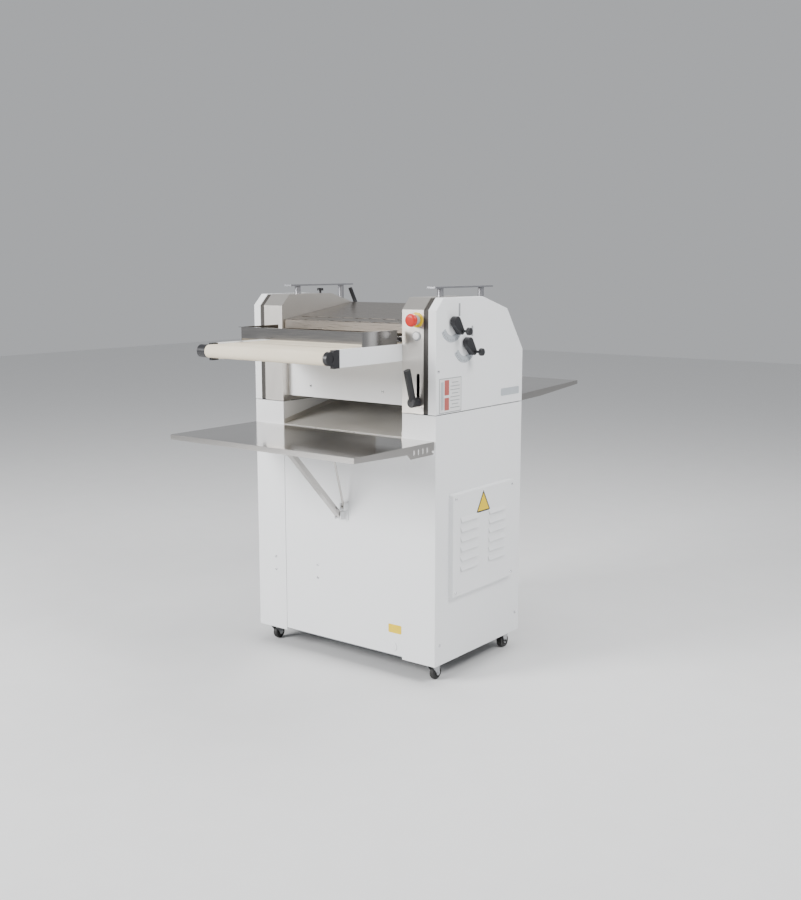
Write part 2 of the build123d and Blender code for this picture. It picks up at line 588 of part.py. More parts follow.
with BuildPart() as tray_strut:
    with BuildSketch(Plane.YZ.offset(-STRUT_WIDTH / 2)):
        SlotCenterToCenter(STRUT_LENGTH, STRUT_DEPTH)
    extrude(amount=STRUT_WIDTH)
    with BuildSketch(Plane.YZ.offset(-STRUT_WIDTH / 2 + SHEET)):
        with Locations((0, -SHEET)):
            Rectangle(STRUT_LENGTH + 2 * STRUT_DEPTH, STRUT_DEPTH)
    extrude(amount=STRUT_WIDTH - 2 * SHEET, mode=Mode.SUBTRACT)
    bar(HINGE_PIN_R + RUN, -STRUT_WIDTH, STRUT_WIDTH, -STRUT_LENGTH / 2, 0, Mode.SUBTRACT)
    rod_end_y = STRUT_LENGTH / 2
    bar(HINGE_PIN_R, -STRUT_WIDTH / 2, STRUT_WIDTH / 2, rod_end_y, 0)
strut_place = Location((0, STRUT_Y, STRUT_Z)) * Location((0, 0, 0), (90 + STRUT_LEAN, 0, 0))
piece(tray_strut.part.moved(strut_place * Location((0, STRUT_LENGTH / 2, 0))), "tray_strut")

with BuildPart() as stay_rod:
    with BuildSketch(Plane.XZ):
        with Locations((ROD_X, 0)):
            Circle(ROD_R)
    extrude(amount=-ROD_LENGTH)
    bar(ROD_R + 3.5, ROD_X - 4.0, ROD_X + 4.0, 0, 0)
    bar(ROD_R + RUN, ROD_X - 6.0, ROD_X + 6.0, 0, 0, Mode.SUBTRACT)
    bar(ROD_R, ROD_X - 8.0, ROD_X + 4.0, ROD_LENGTH - ROD_R, 0)
rod_place = Location((0, STRUT_Y, ROD_Z)) * Location((0, 0, 0), (90 + ROD_LEAN, 0, 0))
piece(stay_rod.part.moved(rod_place), "stay_rod")

# ---- infeed belt ------------------------------------------------------------------------------
with BuildPart() as conveyor_rails:
    for sx, _ in SIDES:
        block(
            sx * CHEEK_X, sx * (CHEEK_X - RAIL_THICK), RAIL_FRONT_Y, RAIL_BACK_Y, RAIL_LOW, RAIL_HIGH
        )
with BuildPart() as conveyor_bed:
    bed_x = CHEEK_X - RAIL_THICK
    bed_z = BELT_Z + BELT_ROLLER_R - SLIDE
    bed_front, bed_back = BELT_FRONT_Y + 24.0, BELT_DRIVE_Y - 24.0
    block(-bed_x, bed_x, bed_front, bed_back, bed_z - BED, bed_z)
    # keep clear of the black caps in front of the rails
    for sx, _ in SIDES:
        block(
            sx * bed_x, sx * (BELT_WIDTH / 2 - 6.0), bed_front, RAIL_FRONT_Y + 1.0, bed_z - 9.0, bed_z + 9.0,
            Mode.SUBTRACT,
        )
piece(Compound([*conveyor_rails.part.solids(), *conveyor_bed.part.solids()]), "conveyor_frame")


def belt_loop(radius):
    """Outline of a band round the two belt rollers, as (y, z)."""
    with BuildSketch() as loop:
        with Locations(((BELT_FRONT_Y + BELT_DRIVE_Y) / 2, BELT_Z)):
            SlotCenterToCenter(BELT_DRIVE_Y - BELT_FRONT_Y, 2 * radius)
    return loop.sketch


with BuildPart() as infeed_belt:
    with BuildSketch(Plane.YZ.offset(-BELT_WIDTH / 2)):
        add(belt_loop(BELT_ROLLER_R + BELT))
        add(belt_loop(BELT_ROLLER_R), mode=Mode.SUBTRACT)
    extrude(amount=BELT_WIDTH)
piece(infeed_belt.part, "infeed_belt")

BELT_SPIN_R = BELT_ROLLER_R - SLIDE
with BuildPart() as infeed_front_roller:
    bar(BELT_SPIN_R, -BELT_WIDTH / 2 + 1.0, BELT_WIDTH / 2 - 1.0, BELT_FRONT_Y, BELT_Z)
    bar(NOSE_JOURNAL_R, -CHEEK_X + 1.0, CHEEK_X - 1.0, BELT_FRONT_Y, BELT_Z)
piece(infeed_front_roller.part, "infeed_front_roller")

with BuildPart() as roller_caps:
    for sx, side in SIDES:
        cap_in = sx * (BELT_WIDTH / 2 + CLEAR)
        cap_out = sx * (CHEEK_X + CAP_PROUD[side])
        block(
            cap_in, sx * (CHEEK_X + CAP_PROUD["right"]), RAIL_FRONT_Y - CAP_LENGTH, RAIL_FRONT_Y,
            RAIL_LOW - 1.0, RAIL_HIGH,
        )
        bar(CAP_R, cap_in, cap_out, BELT_FRONT_Y, BELT_Z)
        bar(NOSE_JOURNAL_R + RUN, cap_in - sx, sx * CHEEK_X, BELT_FRONT_Y, BELT_Z, Mode.SUBTRACT)
        bar(CAP_R - 7.0, cap_out, cap_out - sx * 1.5, BELT_FRONT_Y, BELT_Z, Mode.SUBTRACT)
piece(roller_caps.part, "roller_caps")

BELT_SPROCKET_X = BELT_CHAIN_X - SPROCKET_WIDTH
with BuildPart() as infeed_drive_roller:
    bar(BELT_SPIN_R, -BELT_WIDTH / 2 + 1.0, BELT_WIDTH / 2 - 1.0, BELT_DRIVE_Y, BELT_Z)
    bar(BELT_JOURNAL_R, BELT_SPROCKET_X - 3.0, PLATE_OUT, BELT_DRIVE_Y, BELT_Z)
with BuildPart() as belt_sprocket:
    with BuildSketch(Plane.YZ.offset(BELT_SPROCKET_X)):
        with Locations((BELT_DRIVE_Y, BELT_Z)):
            add(sprocket_face(BELT_TEETH))
            Circle(BELT_JOURNAL_R + KEYED, mode=Mode.SUBTRACT)
    extrude(amount=SPROCKET_WIDTH)
piece(Compound([*infeed_drive_roller.part.solids(), *belt_sprocket.part.solids()]), "infeed_drive_roller")

with BuildPart() as guide_frame:
    for sx, _ in SIDES:
        block(
            sx * (CHEEK_X - 4.0), sx * (CHEEK_X - 2.0), GUIDE_FRONT_Y, GUIDE_BACK_Y, RAIL_HIGH, GUIDE_TOP
        )
        block(
            sx * (CHEEK_X - 4.0), sx * (CHEEK_X - 2.0 + GUIDE_LIP), GUIDE_FRONT_Y - GUIDE_LIP, GUIDE_BACK_Y,
            GUIDE_TOP - STAINLESS, GUIDE_TOP,
        )
    block(
        2.0 - CHEEK_X, CHEEK_X - 2.0, GUIDE_FRONT_Y, GUIDE_FRONT_Y + 2.0, RAIL_HIGH + 8.0, GUIDE_TOP
    )
    block(
        2.0 - CHEEK_X, CHEEK_X - 2.0, GUIDE_FRONT_Y - GUIDE_LIP, GUIDE_FRONT_Y + 2.0,
        GUIDE_TOP - STAINLESS, GUIDE_TOP,
    )
piece(guide_frame.part, "guide_frame")

# ---- guard over the rollers -------------------------------------------------------------------
GUARD_X = CHEEK_X - GUARD_GAP
GUARD_PIN_Z = GUARD_BACK_Z - 2 * GUARD_PIN_R
with BuildPart() as guard:
    with BuildSketch(Plane.YZ.offset(-GUARD_X)):
        with BuildLine():
            Polyline(
                (GUARD_BACK_Y, GUARD_PIN_Z), (GUARD_BACK_Y, GUARD_BACK_Z),
                (GUARD_FRONT_Y, GUARD_FRONT_Z), (GUARD_FRONT_Y, GUARD_SKIRT_Z),
                (GUARD_FRONT_Y + STAINLESS, GUARD_SKIRT_Z),
                (GUARD_FRONT_Y + STAINLESS, GUARD_FRONT_Z - STAINLESS),
                (GUARD_BACK_Y - STAINLESS, GUARD_BACK_Z - STAINLESS), (GUARD_BACK_Y - STAINLESS, GUARD_PIN_Z),
                close=True,
            )
        make_face()
    extrude(amount=2 * GUARD_X)
    bar(GUARD_PIN_R + 2.0, -GUARD_X, GUARD_X, GUARD_BACK_Y, GUARD_PIN_Z)
    pin_end = CHEEK_X + SHEET + 1.0
    bar(GUARD_PIN_R, -pin_end, pin_end, GUARD_BACK_Y, GUARD_PIN_Z)
    # two rows of slots through the sheet
    for row_y in (GUARD_FRONT_Y + 10.0, GUARD_FRONT_Y + 62.0):
        row_z = GUARD_FRONT_Z + (row_y - GUARD_FRONT_Y) * (GUARD_BACK_Z - GUARD_FRONT_Z) / (
            GUARD_BACK_Y - GUARD_FRONT_Y
        )
        with BuildSketch(Plane.XY.offset(row_z - 10.0)):
            with Locations((0, row_y)):
                with GridLocations(SLOT_PITCH, 1, SLOT_COUNT, 1):
                    SlotOverall(SLOT_LENGTH, SLOT_WIDTH)
        extrude(amount=20.0, mode=Mode.SUBTRACT)
piece(guard.part, "guard")

# ---- sheeting rollers, their gears and bearings -----------------------------------------------
GEAR_PITCH_R = ROLLER_PITCH / 2
wheel_run = Vector(LOWER_Y, LOWER_Z).sub(Vector(REAR_Y, REAR_Z))
WHEEL_PITCH_R = wheel_run.length / 2
WHEEL_ANGLE = degrees(atan2(REAR_Z - LOWER_Z, REAR_Y - LOWER_Y))


def wheel_solid(face, x, width, y, z, bore):
    """A toothed wheel on the left, from plane x towards the middle by width."""
    with BuildPart() as wheel:
        with BuildSketch(Plane.YZ.offset(x - width)):
            with Locations((y, z)):
                add(face)
                Circle(bore, mode=Mode.SUBTRACT)
        extrude(amount=width)
    return wheel.part.solid()


def roller_solid(y, z, shaft_end):
    """Roller with journals to both side plates and a gear shaft out to shaft_end on the left."""
    with BuildPart() as roller:
        bar(ROLLER_R, -ROLLER_HALF, ROLLER_HALF, y, z)
        bar(JOURNAL_R, -PLATE_OUT, PLATE_OUT, y, z)
        bar(GEAR_SHAFT_R, -PLATE_OUT, shaft_end, y, z)
    return roller.part.solid()


gear_end = GEAR_X - GEAR_WIDTH - 2.0
shaft_bore = GEAR_SHAFT_R + KEYED
half_tooth = 180 / GEAR_TEETH
upper_gear = wheel_solid(
    gear_face(GEAR_TEETH, GEAR_PITCH_R, -90.0 + half_tooth), GEAR_X, GEAR_WIDTH, LOWER_Y, UPPER_Z, shaft_bore
)
piece(Compound([roller_solid(LOWER_Y, UPPER_Z, gear_end), upper_gear]), "upper_roller")
middle_gear = wheel_solid(
    gear_face(GEAR_TEETH, GEAR_PITCH_R, half_tooth), GEAR_X, GEAR_WIDTH, MIDDLE_Y, REAR_Z, shaft_bore
)
piece(Compound([roller_solid(MIDDLE_Y, REAR_Z, gear_end), middle_gear]), "middle_roller")

lower_end = MOTOR_CHAIN_X - SPROCKET_WIDTH - 2.0
piece(roller_solid(LOWER_Y, LOWER_Z, lower_end), "lower_roller")
lower_wheels = [
    wheel_solid(gear_face(GEAR_TEETH, GEAR_PITCH_R, 90.0), GEAR_X, GEAR_WIDTH, LOWER_Y, LOWER_Z, shaft_bore),
    wheel_solid(sprocket_face(ROLLER_TEETH), BELT_CHAIN_X, SPROCKET_WIDTH, LOWER_Y, LOWER_Z, shaft_bore),
    wheel_solid(
        gear_face(WHEEL_TEETH, WHEEL_PITCH_R, WHEEL_ANGLE), WHEEL_X, GEAR_WIDTH, LOWER_Y, LOWER_Z, shaft_bore
    ),
    wheel_solid(sprocket_face(MOTOR_TEETH), MOTOR_CHAIN_X, SPROCKET_WIDTH, LOWER_Y, LOWER_Z, shaft_bore),
]
piece(Compound(lower_wheels), "lower_roller_gears")

rear_roller_parts = [
    roller_solid(REAR_Y, REAR_Z, WHEEL_X - GEAR_WIDTH - 2.0),
    wheel_solid(gear_face(GEAR_TEETH, GEAR_PITCH_R, 180.0), GEAR_X, GEAR_WIDTH, REAR_Y, REAR_Z, shaft_bore),
    wheel_solid(
        gear_face(WHEEL_TEETH, WHEEL_PITCH_R, WHEEL_ANGLE + 180 + 180 / WHEEL_TEETH),
        WHEEL_X, GEAR_WIDTH, REAR_Y, REAR_Z, shaft_bore,
    ),
]
piece(Compound(rear_roller_parts), "rear_roller")

with BuildPart() as roller_bearings:
    for sx, _ in SIDES:
        for y, z, outer, inner in (
            (LOWER_Y, LOWER_Z, BEARING_R, JOURNAL_R),
            (REAR_Y, REAR_Z, BEARING_R, JOURNAL_R),
            (BELT_DRIVE_Y, BELT_Z, BELT_BEARING_R, BELT_JOURNAL_R),
        ):
            with BuildSketch(Plane.YZ.offset(sx * PLATE_X)):
                with Locations((y, z)):
                    Circle(outer - KEYED)
                    Circle(inner + RUN, mode=Mode.SUBTRACT)
            extrude(amount=sx * PLATE)
piece(roller_bearings.part, "roller_bearings")

for label, y, z in (("upper_roller_blocks", LOWER_Y, UPPER_Z), ("middle_roller_blocks", MIDDLE_Y, REAR_Z)):
    with BuildPart() as blocks:
        for sx, _ in SIDES:
            with BuildSketch(Plane.YZ.offset(sx * PLATE_X)):
                with Locations((y, z)):
                    Rectangle(BLOCK, BLOCK)
                    Circle(JOURNAL_R + RUN, mode=Mode.SUBTRACT)
            extrude(amount=sx * PLATE)
    piece(blocks.part, label)

# ---- drive ------------------------------------------------------------------------------------
def chain_solid(ends, x, thickness=CHAIN):
    """A chain as a closed band round two sprockets; ends are (y, z, sprocket pitch radius)."""
    with BuildPart() as chain:
        with BuildSketch(Plane.YZ.offset(x - SPROCKET_WIDTH)):
            for y, z, radius in ends:
                with Locations((y, z)):
                    Circle(radius + SLIDE + thickness)
            make_hull()
            with BuildSketch(mode=Mode.SUBTRACT):
                for y, z, radius in ends:
                    with Locations((y, z)):
                        Circle(radius + SLIDE)
                make_hull()
        extrude(amount=SPROCKET_WIDTH)
    return chain.part.solid()


belt_chain = chain_solid(
    [(LOWER_Y, LOWER_Z, sprocket_r(ROLLER_TEETH)), (BELT_DRIVE_Y, BELT_Z, sprocket_r(BELT_TEETH))],
    BELT_CHAIN_X,
)
motor_chain = chain_solid(
    [(LOWER_Y, LOWER_Z, sprocket_r(MOTOR_TEETH)), (LOWER_Y, MOTOR_Z, sprocket_r(MOTOR_TEETH))],
    MOTOR_CHAIN_X,
)
piece(Compound([belt_chain, motor_chain]), "drive_chains")

GEARBOX_LEFT = GEARBOX_X - GEARBOX[0] / 2
MOTOR_SHAFT_R = 10.0
with BuildPart() as gearbox:
    gear_low = MOTOR_Z - GEARBOX[2] / 2
    block(
        GEARBOX_LEFT, GEARBOX_X + GEARBOX[0] / 2, LOWER_Y - GEARBOX[1] / 2, LOWER_Y + GEARBOX[1] / 2,
        gear_low, gear_low + GEARBOX[2],
    )
    fillet(gearbox.edges().filter_by(Axis.X), 8.0)
    bar(34.0, GEARBOX_LEFT - 12.0, GEARBOX_LEFT, LOWER_Y, MOTOR_Z)
    bar(MOTOR_SHAFT_R + RUN, GEARBOX_LEFT - 14.0, GEARBOX_LEFT + 30.0, LOWER_Y, MOTOR_Z, Mode.SUBTRACT)
with BuildPart() as motor:
    motor_x = GEARBOX_X + GEARBOX[0] / 2
    bar(MOTOR_R, motor_x, motor_x + MOTOR_LENGTH, LOWER_Y, MOTOR_Z)
    fillet(motor.faces().sort_by(Axis.X)[-1].edges(), 8.0)
    block(motor_x + 60.0, motor_x + 140.0, LOWER_Y - 35.0, LOWER_Y + 35.0, MOTOR_Z + 45.0, MOTOR_Z + 85.0)
piece(Compound([gearbox.part.solid(), motor.part.solid()]), "gear_motor")

with BuildPart() as motor_sprocket:
    motor_sprocket_x = MOTOR_CHAIN_X - SPROCKET_WIDTH
    bar(MOTOR_SHAFT_R, motor_sprocket_x - 3.0, GEARBOX_LEFT + 28.0, LOWER_Y, MOTOR_Z)
    with BuildSketch(Plane.YZ.offset(motor_sprocket_x)):
        with Locations((LOWER_Y, MOTOR_Z)):
            add(sprocket_face(MOTOR_TEETH))
    extrude(amount=SPROCKET_WIDTH)
piece(motor_sprocket.part, "motor_sprocket")

with BuildPart() as electrical_box:
    box_x1 = HALF - SHEET
    block(box_x1 - 80.0, box_x1, -110.0, 110.0, 330.0, 560.0)
    fillet(electrical_box.edges().filter_by(Axis.X), 6.0)
    block(
        box_x1 - 80.0 + SHEET, box_x1, SHEET - 110.0, 110.0 - SHEET, 330.0 + SHEET, 560.0 - SHEET,
        Mode.SUBTRACT,
    )
piece(electrical_box.part, "electrical_box")

# ---- thickness levers -------------------------------------------------------------------------
for label, (pivot_y, pivot_z) in (("upper", LEVER_UPPER), ("lower", LEVER_LOWER)):
    arm_angle = radians(LEVER_ANGLE)
    tip_y = pivot_y + LEVER_REACH * cos(arm_angle)
    tip_z = pivot_z + LEVER_REACH * sin(arm_angle)
    with BuildPart() as lever_arm:
        with BuildSketch(Plane.YZ.offset(LEVER_BACK_X)):
            with Locations((pivot_y, pivot_z)):
                Circle(LEVER_HEAD_R)
            with Locations((tip_y, tip_z)):
                Circle(LEVER_TIP_R)
            make_hull()
        extrude(amount=LEVER_THICK)
        fillet(lever_arm.faces().sort_by(Axis.X)[-1].edges(), 2.0)
        bar(PLUNGER_R + RUN, HALF, LEVER_FACE_X + 5.0, tip_y, tip_z, Mode.SUBTRACT)
        # shaft with the cam that sets the roller gap
        bar(LEVER_SHAFT_R, PLATE_X, LEVER_BACK_X, pivot_y, pivot_z)
        bar(16.0, PLATE_OUT + 6.0, PLATE_OUT + 18.0, pivot_y + 6.0, pivot_z)
    piece(lever_arm.part, f"{label}_thickness_lever")
    with BuildPart() as plunger:
        knob_x = LEVER_FACE_X + PLUNGER_PROUD - PLUNGER_KNOB
        bar(PLUNGER_R, HALF + 3.0, knob_x, tip_y, tip_z)
        bar(PLUNGER_KNOB_R, knob_x, LEVER_FACE_X + PLUNGER_PROUD, tip_y, tip_z)
        fillet(plunger.edges().filter_by(GeomType.CIRCLE).group_by(SortBy.RADIUS)[-1], 4.0)
    piece(plunger.part, f"{label}_lever_plunger")

def scale_face(start, end):
    """Band of the thickness scale round a lever's pivot, between two angles."""
    far = 3 * SCALE_OUT
    quarter = 80  # the removed sector is spanned by four rays
    rays = (end, end + quarter, start - quarter, start)
    outside = [(far * cos(radians(ray)), far * sin(radians(ray))) for ray in rays]
    with BuildSketch() as band:
        Circle(SCALE_OUT)
        Circle(SCALE_IN, mode=Mode.SUBTRACT)
        add(polygon([(0, 0), *outside]), mode=Mode.SUBTRACT)
    return band.sketch


scale_band = scale_face(SCALE_START, SCALE_END)
with BuildPart() as thickness_scales:
    with BuildSketch(Plane.YZ.offset(HALF)):
        with Locations(LEVER_UPPER, LEVER_LOWER):
            add(scale_band)
    extrude(amount=SHEET)
piece(thickness_scales.part, "thickness_scales")

# ---- push buttons and clamp on the right cheek ------------------------------------------------
with BuildPart() as estop_button:
    stud(7.5, FRONT - 28.0, FRONT + 12.0, CONTROL_X, ESTOP_Z)
    stud(ESTOP_R, FRONT - 38.0, FRONT - 22.0, CONTROL_X, ESTOP_Z)
    fillet(estop_button.faces().sort_by(Axis.Y)[0].edges(), 7.0)
piece(estop_button.part, "estop_button")

with BuildPart() as control_bezels:
    stud(23.0, FRONT - 3.0, FRONT, CONTROL_X, ESTOP_Z)
    stud(15.0, FRONT - 16.0, FRONT - 3.0, CONTROL_X, ESTOP_Z)
    stud(7.5 + RUN, FRONT - 20.0, FRONT + 1.0, CONTROL_X, ESTOP_Z, Mode.SUBTRACT)
    stud(START_R + 3.5, FRONT - 4.0, FRONT, CONTROL_X, START_Z)
    stud(START_R + RUN, FRONT - 5.0, FRONT + 1.0, CONTROL_X, START_Z, Mode.SUBTRACT)
piece(control_bezels.part, "control_bezels")

with BuildPart() as start_button:
    stud(START_R, FRONT - 6.5, FRONT - 3.4, CONTROL_X, START_Z)
    fillet(start_button.faces().sort_by(Axis.Y)[0].edges(), 1.5)
    stud(START_R - 3.0, FRONT - 3.4, FRONT + 10.0, CONTROL_X, START_Z)
piece(start_button.part, "start_button")

with BuildPart() as clamp_lever:
    stud(15.0, FRONT - 38.0, FRONT - 4.0, CLAMP_X, CLAMP_Z)
    fillet(clamp_lever.faces().sort_by(Axis.Y)[0].edges(), 4.0)
    with BuildSketch(Plane(origin=(CLAMP_X, FRONT - 27.0, CLAMP_Z + 4.0), z_dir=(0, -0.3, 1))):
        SlotCenterToCenter(6.0, 17.0)
    with BuildSketch(Plane(origin=(CLAMP_X, FRONT - 56.0, CLAMP_Z + 100.0), z_dir=(0, -0.3, 1))):
        SlotCenterToCenter(8.0, 17.0)
    loft()
piece(clamp_lever.part, "clamp_lever")

with BuildPart() as pressure_board:
    arm_y = FRONT + ARM_BACK
    # clamp plate inside the cheek, its stud through the slot, and the arm to the board
    block(CLAMP_X - 14.0, CLAMP_X + 14.0, FRONT + SHEET + SLIDE, arm_y + 6.0, CLAMP_Z - 14.0, CLAMP_Z + 10.0)
    stud(CLAMP_STUD_R, FRONT - 4.0, arm_y, CLAMP_X, CLAMP_Z)
    block(-PLATE_X - 12.0, CLAMP_X, arm_y - 6.0, arm_y + 6.0, CLAMP_Z - 8.0, CLAMP_Z + 8.0)
    # board hung from the arm, parallel to the chute
    board_half = CHEEK_X - 6.0
    rise = BOARD_LENGTH * (CHUTE_BACK_Z - CHUTE_FRONT_Z) / DEPTH
    with BuildSketch(Plane.YZ.offset(-board_half)):
        add(polygon([(arm_y, BOARD_FRONT_Z), (arm_y + BOARD_LENGTH, BOARD_FRONT_Z + rise),
                     (arm_y + BOARD_LENGTH, BOARD_FRONT_Z + rise + 3.0), (arm_y + 3.0, BOARD_FRONT_Z + 3.6),
                     (arm_y + 3.0, CLAMP_Z), (arm_y, CLAMP_Z)]))
    extrude(amount=2 * board_half)
piece(pressure_board.part, "pressure_board")

# ---- top rails --------------------------------------------------------------------------------
rail_width, rail_length, rail_thick = TOP_RAIL
with BuildPart() as top_rails:
    for sx, _ in SIDES:
        x = sx * TOP_RAIL_X
        rail_low = TOP_RAIL_Z - rail_thick
        block(
            x - rail_width / 2, x + rail_width / 2, TOP_RAIL_Y - rail_length / 2,
            TOP_RAIL_Y + rail_length / 2, rail_low, TOP_RAIL_Z,
        )
        for y in (TOP_RAIL_Y - POST_Y, TOP_RAIL_Y + POST_Y):
            post(POST_R, head_height(y) - 6.0, rail_low, x, y)
    # the posts stand on the cheeks, also where these slope down
    with BuildSketch(Plane.YZ.offset(-WIDTH)):
        add(head_outline())
    extrude(amount=2 * WIDTH, mode=Mode.SUBTRACT)
piece(top_rails.part, "top_rails")

with BuildPart() as guard_latch:
    post(4.0, head_height(0.0), HEAD_TOP + 12.0, -TOP_RAIL_X, 0.0)
    post(11.0, HEAD_TOP + 8.0, HEAD_TOP + 17.0, -TOP_RAIL_X, 0.0)
    fillet(guard_latch.faces().sort_by(Axis.Z)[-1].edges(), 3.0)
piece(guard_latch.part, "top_knob")

# dark stalk standing on the left cheek, behind the guard
STALK_FOOT = (-258.0, 155.0, head_height(155.0))
STALK_LEAN = (-12.0, -25.0, 68.0)
STALK_R = 7.0
with BuildPart() as cheek_stalk:
    stalk_run = Vector(*STALK_LEAN)
    with BuildSketch(Plane(origin=Vector(*STALK_FOOT) - stalk_run * 0.1, z_dir=stalk_run)):
        Circle(STALK_R)
    extrude(amount=stalk_run.length * 1.1)
    fillet(cheek_stalk.faces().sort_by(Axis.Z)[-1].edges(), 2.0)
    # its foot follows the slope it stands on
    with BuildSketch(Plane.YZ.offset(-WIDTH)):
        add(head_outline())
    extrude(amount=2 * WIDTH, mode=Mode.SUBTRACT)
piece(cheek_stalk.part, "cheek_stalk")

# ---- scrapers under the fixed rollers ---------------------------------------------------------
with BuildPart() as scrapers:
    for y, z, angle in ((LOWER_Y, LOWER_Z, -75.0), (REAR_Y, REAR_Z, -20.0)):
        reach = ROLLER_R + SLIDE
        with BuildSketch(Plane.YZ.offset(-CHEEK_X)):
            with Locations(Location((y, z, 0), angle)):
                with Locations((reach + 14.0, 0)):
                    Rectangle(28.0, STAINLESS)
        extrude(amount=THROAT)
piece(scrapers.part, "scrapers")

# ---- castors ----------------------------------------------------------------------------------
CASTOR_X = FRAME_X - CASTOR_INSET - CASTOR_PLATE / 2
CASTOR_Y = FRAME_Y - CASTOR_INSET - CASTOR_PLATE / 2
DISC_LOW = FRAME_BOTTOM - 7.0
CROWN_TOP = DISC_LOW - SLIDE


def fork_sketch(trail):
    """Side view of a fork leg: from the crown down to the axle, trail behind the kingpin."""
    crown_low = CROWN_TOP - 6.0
    with BuildSketch() as leg:
        add(polygon([(-CASTOR_DISC_R + 4.0, CROWN_TOP), (CASTOR_DISC_R - 2.0, CROWN_TOP),
                     (trail + 8.0, WHEEL_R), (trail - 8.0, WHEEL_R), (-CASTOR_DISC_R + 4.0, crown_low)]))
        with Locations((trail, WHEEL_R)):
            Circle(8.0)
    return leg.sketch


def fork_solid(x, y, trail):
    """Castor fork round a wheel at x; the axle stays with it."""
    inner = WHEEL_WIDTH / 2 + CLEAR
    with BuildPart() as fork:
        for sx in (-1, 1):
            with BuildSketch(Plane(origin=(x + sx * inner, y, 0), x_dir=(0, 1, 0), z_dir=(1, 0, 0))):
                add(fork_sketch(trail))
            extrude(amount=sx * 2.5)
        crown_back, crown_front = y - CASTOR_DISC_R + 4.0, y + CASTOR_DISC_R - 2.0
        block(x - inner, x + inner, crown_back, crown_front, CROWN_TOP - 4.0, CROWN_TOP)
    return fork


def wheel_face_solid(x, y, bore):
    """Solid castor wheel with rounded tread."""
    with BuildPart() as wheel:
        bar(WHEEL_R, x - WHEEL_WIDTH / 2, x + WHEEL_WIDTH / 2, y, WHEEL_R)
        fillet(wheel.edges().filter_by(GeomType.CIRCLE), 3.0)
        bar(bore, x - WHEEL_WIDTH, x + WHEEL_WIDTH, y, WHEEL_R, Mode.SUBTRACT)
    return wheel.part.solid()


KINGPIN_R = 5.0
mounts = []
for sx, side in SIDES:
    x = sx * CASTOR_X
    # front castors swivel
    with BuildPart() as plate:
        half_plate = CASTOR_PLATE / 2
        block(
            x - half_plate, x + half_plate, -CASTOR_Y - half_plate, -CASTOR_Y + half_plate,
            FRAME_BOTTOM - 3.0, FRAME_BOTTOM,
        )
        post(CASTOR_DISC_R, DISC_LOW, FRAME_BOTTOM - 3.0, x, -CASTOR_Y)
        post(KINGPIN_R, CROWN_TOP - 4.0, DISC_LOW, x, -CASTOR_Y)
    mounts.append(plate.part.solid())
    with BuildPart() as swivel:
        add(fork_solid(x, -CASTOR_Y, CASTOR_TRAIL).part)
        post(KINGPIN_R + RUN, 0, FRAME_BOTTOM, x, -CASTOR_Y, Mode.SUBTRACT)
        bar(AXLE_R, x - 13.0, x + 13.0, -CASTOR_Y + CASTOR_TRAIL, WHEEL_R)
    piece(swivel.part, f"front_{side}_castor_fork")
    piece(wheel_face_solid(x, -CASTOR_Y + CASTOR_TRAIL, AXLE_R + RUN), f"front_{side}_wheel")
    # rear castors are fixed and share one axle
    with BuildPart() as fixed:
        add(fork_solid(x, CASTOR_Y, 0.0).part)
        block(
            x - half_plate, x + half_plate, CASTOR_Y - half_plate, CASTOR_Y + half_plate,
            FRAME_BOTTOM - 3.0, FRAME_BOTTOM,
        )
        post(CASTOR_DISC_R - 6.0, CROWN_TOP - 2.0, FRAME_BOTTOM - 3.0, x, CASTOR_Y)
        bar(AXLE_R + RUN, x - 20.0, x + 20.0, CASTOR_Y, WHEEL_R, Mode.SUBTRACT)
    mounts.append(fixed.part.solid())
piece(Compound(mounts), "castor_mounts")

with BuildPart() as rear_axle:
    bar(AXLE_R, -CASTOR_X - 15.0, CASTOR_X + 15.0, CASTOR_Y, WHEEL_R)
    for sx, _ in SIDES:
        bar(WHEEL_R, sx * CASTOR_X - WHEEL_WIDTH / 2, sx * CASTOR_X + WHEEL_WIDTH / 2, CASTOR_Y, WHEEL_R)
piece(rear_axle.part, "rear_wheels")

# ---- screws -----------------------------------------------------------------------------------
with BuildPart() as screws:
    cover_face = HALF + LOUVRE_COVER[2]
    screw_y = LOUVRE_COVER[0] / 2 - 14.0
    screw_z = LOUVRE_COVER[1] / 2 - 14.0
    for y in (-screw_y, screw_y):
        for z in (LOUVRE_COVER_Z - screw_z, LOUVRE_COVER_Z + screw_z):
            bar(SCREW_R, cover_face, cover_face + SCREW_HEAD, y, z)
    for sx, _ in SIDES:
        for y, z in ((-222.0, 125.0), (220.0, 125.0), (-235.0, 981.0)):
            bar(SCREW_R, sx * HALF, sx * (HALF + SCREW_HEAD), y, z)
        # front: pairs on the casing and on the panel, then the infeed panel and the rear panel
        for x, z, face in (
            (sx * 293.0, 268.0, FRONT), (sx * 293.0, 312.0, FRONT),
            (sx * 106.0, 268.0, FRONT + SHEET), (sx * 106.0, 312.0, FRONT + SHEET),
            (sx * 150.0, 905.0, FRONT + PANEL_BACK),
        ):
            if sx < 0 or z > 800.0:
                stud(SCREW_R, face - SCREW_HEAD, face, x, z)
        for z in (PANEL_LOW + 20.0, REAR_PANEL_TOP - 20.0):
            stud(SCREW_R, BACK - SHEET, BACK - SHEET + SCREW_HEAD, sx * (CHEEK_X - 20.0), z)
piece(screws.part, "case_screws")

print("pieces written", len(os.listdir("parts")))
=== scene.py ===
# %% [markdown]
# # Dough sheeter: looks
# The shapes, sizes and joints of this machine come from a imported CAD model. This lesson gives each
# of its sheets, rollers and knobs a finish, and adds the small pieces that a simple solid leaves out.

# %% Load the frame and note its size
import json
import math

import bmesh
import bpy
from mathutils import Matrix, Vector


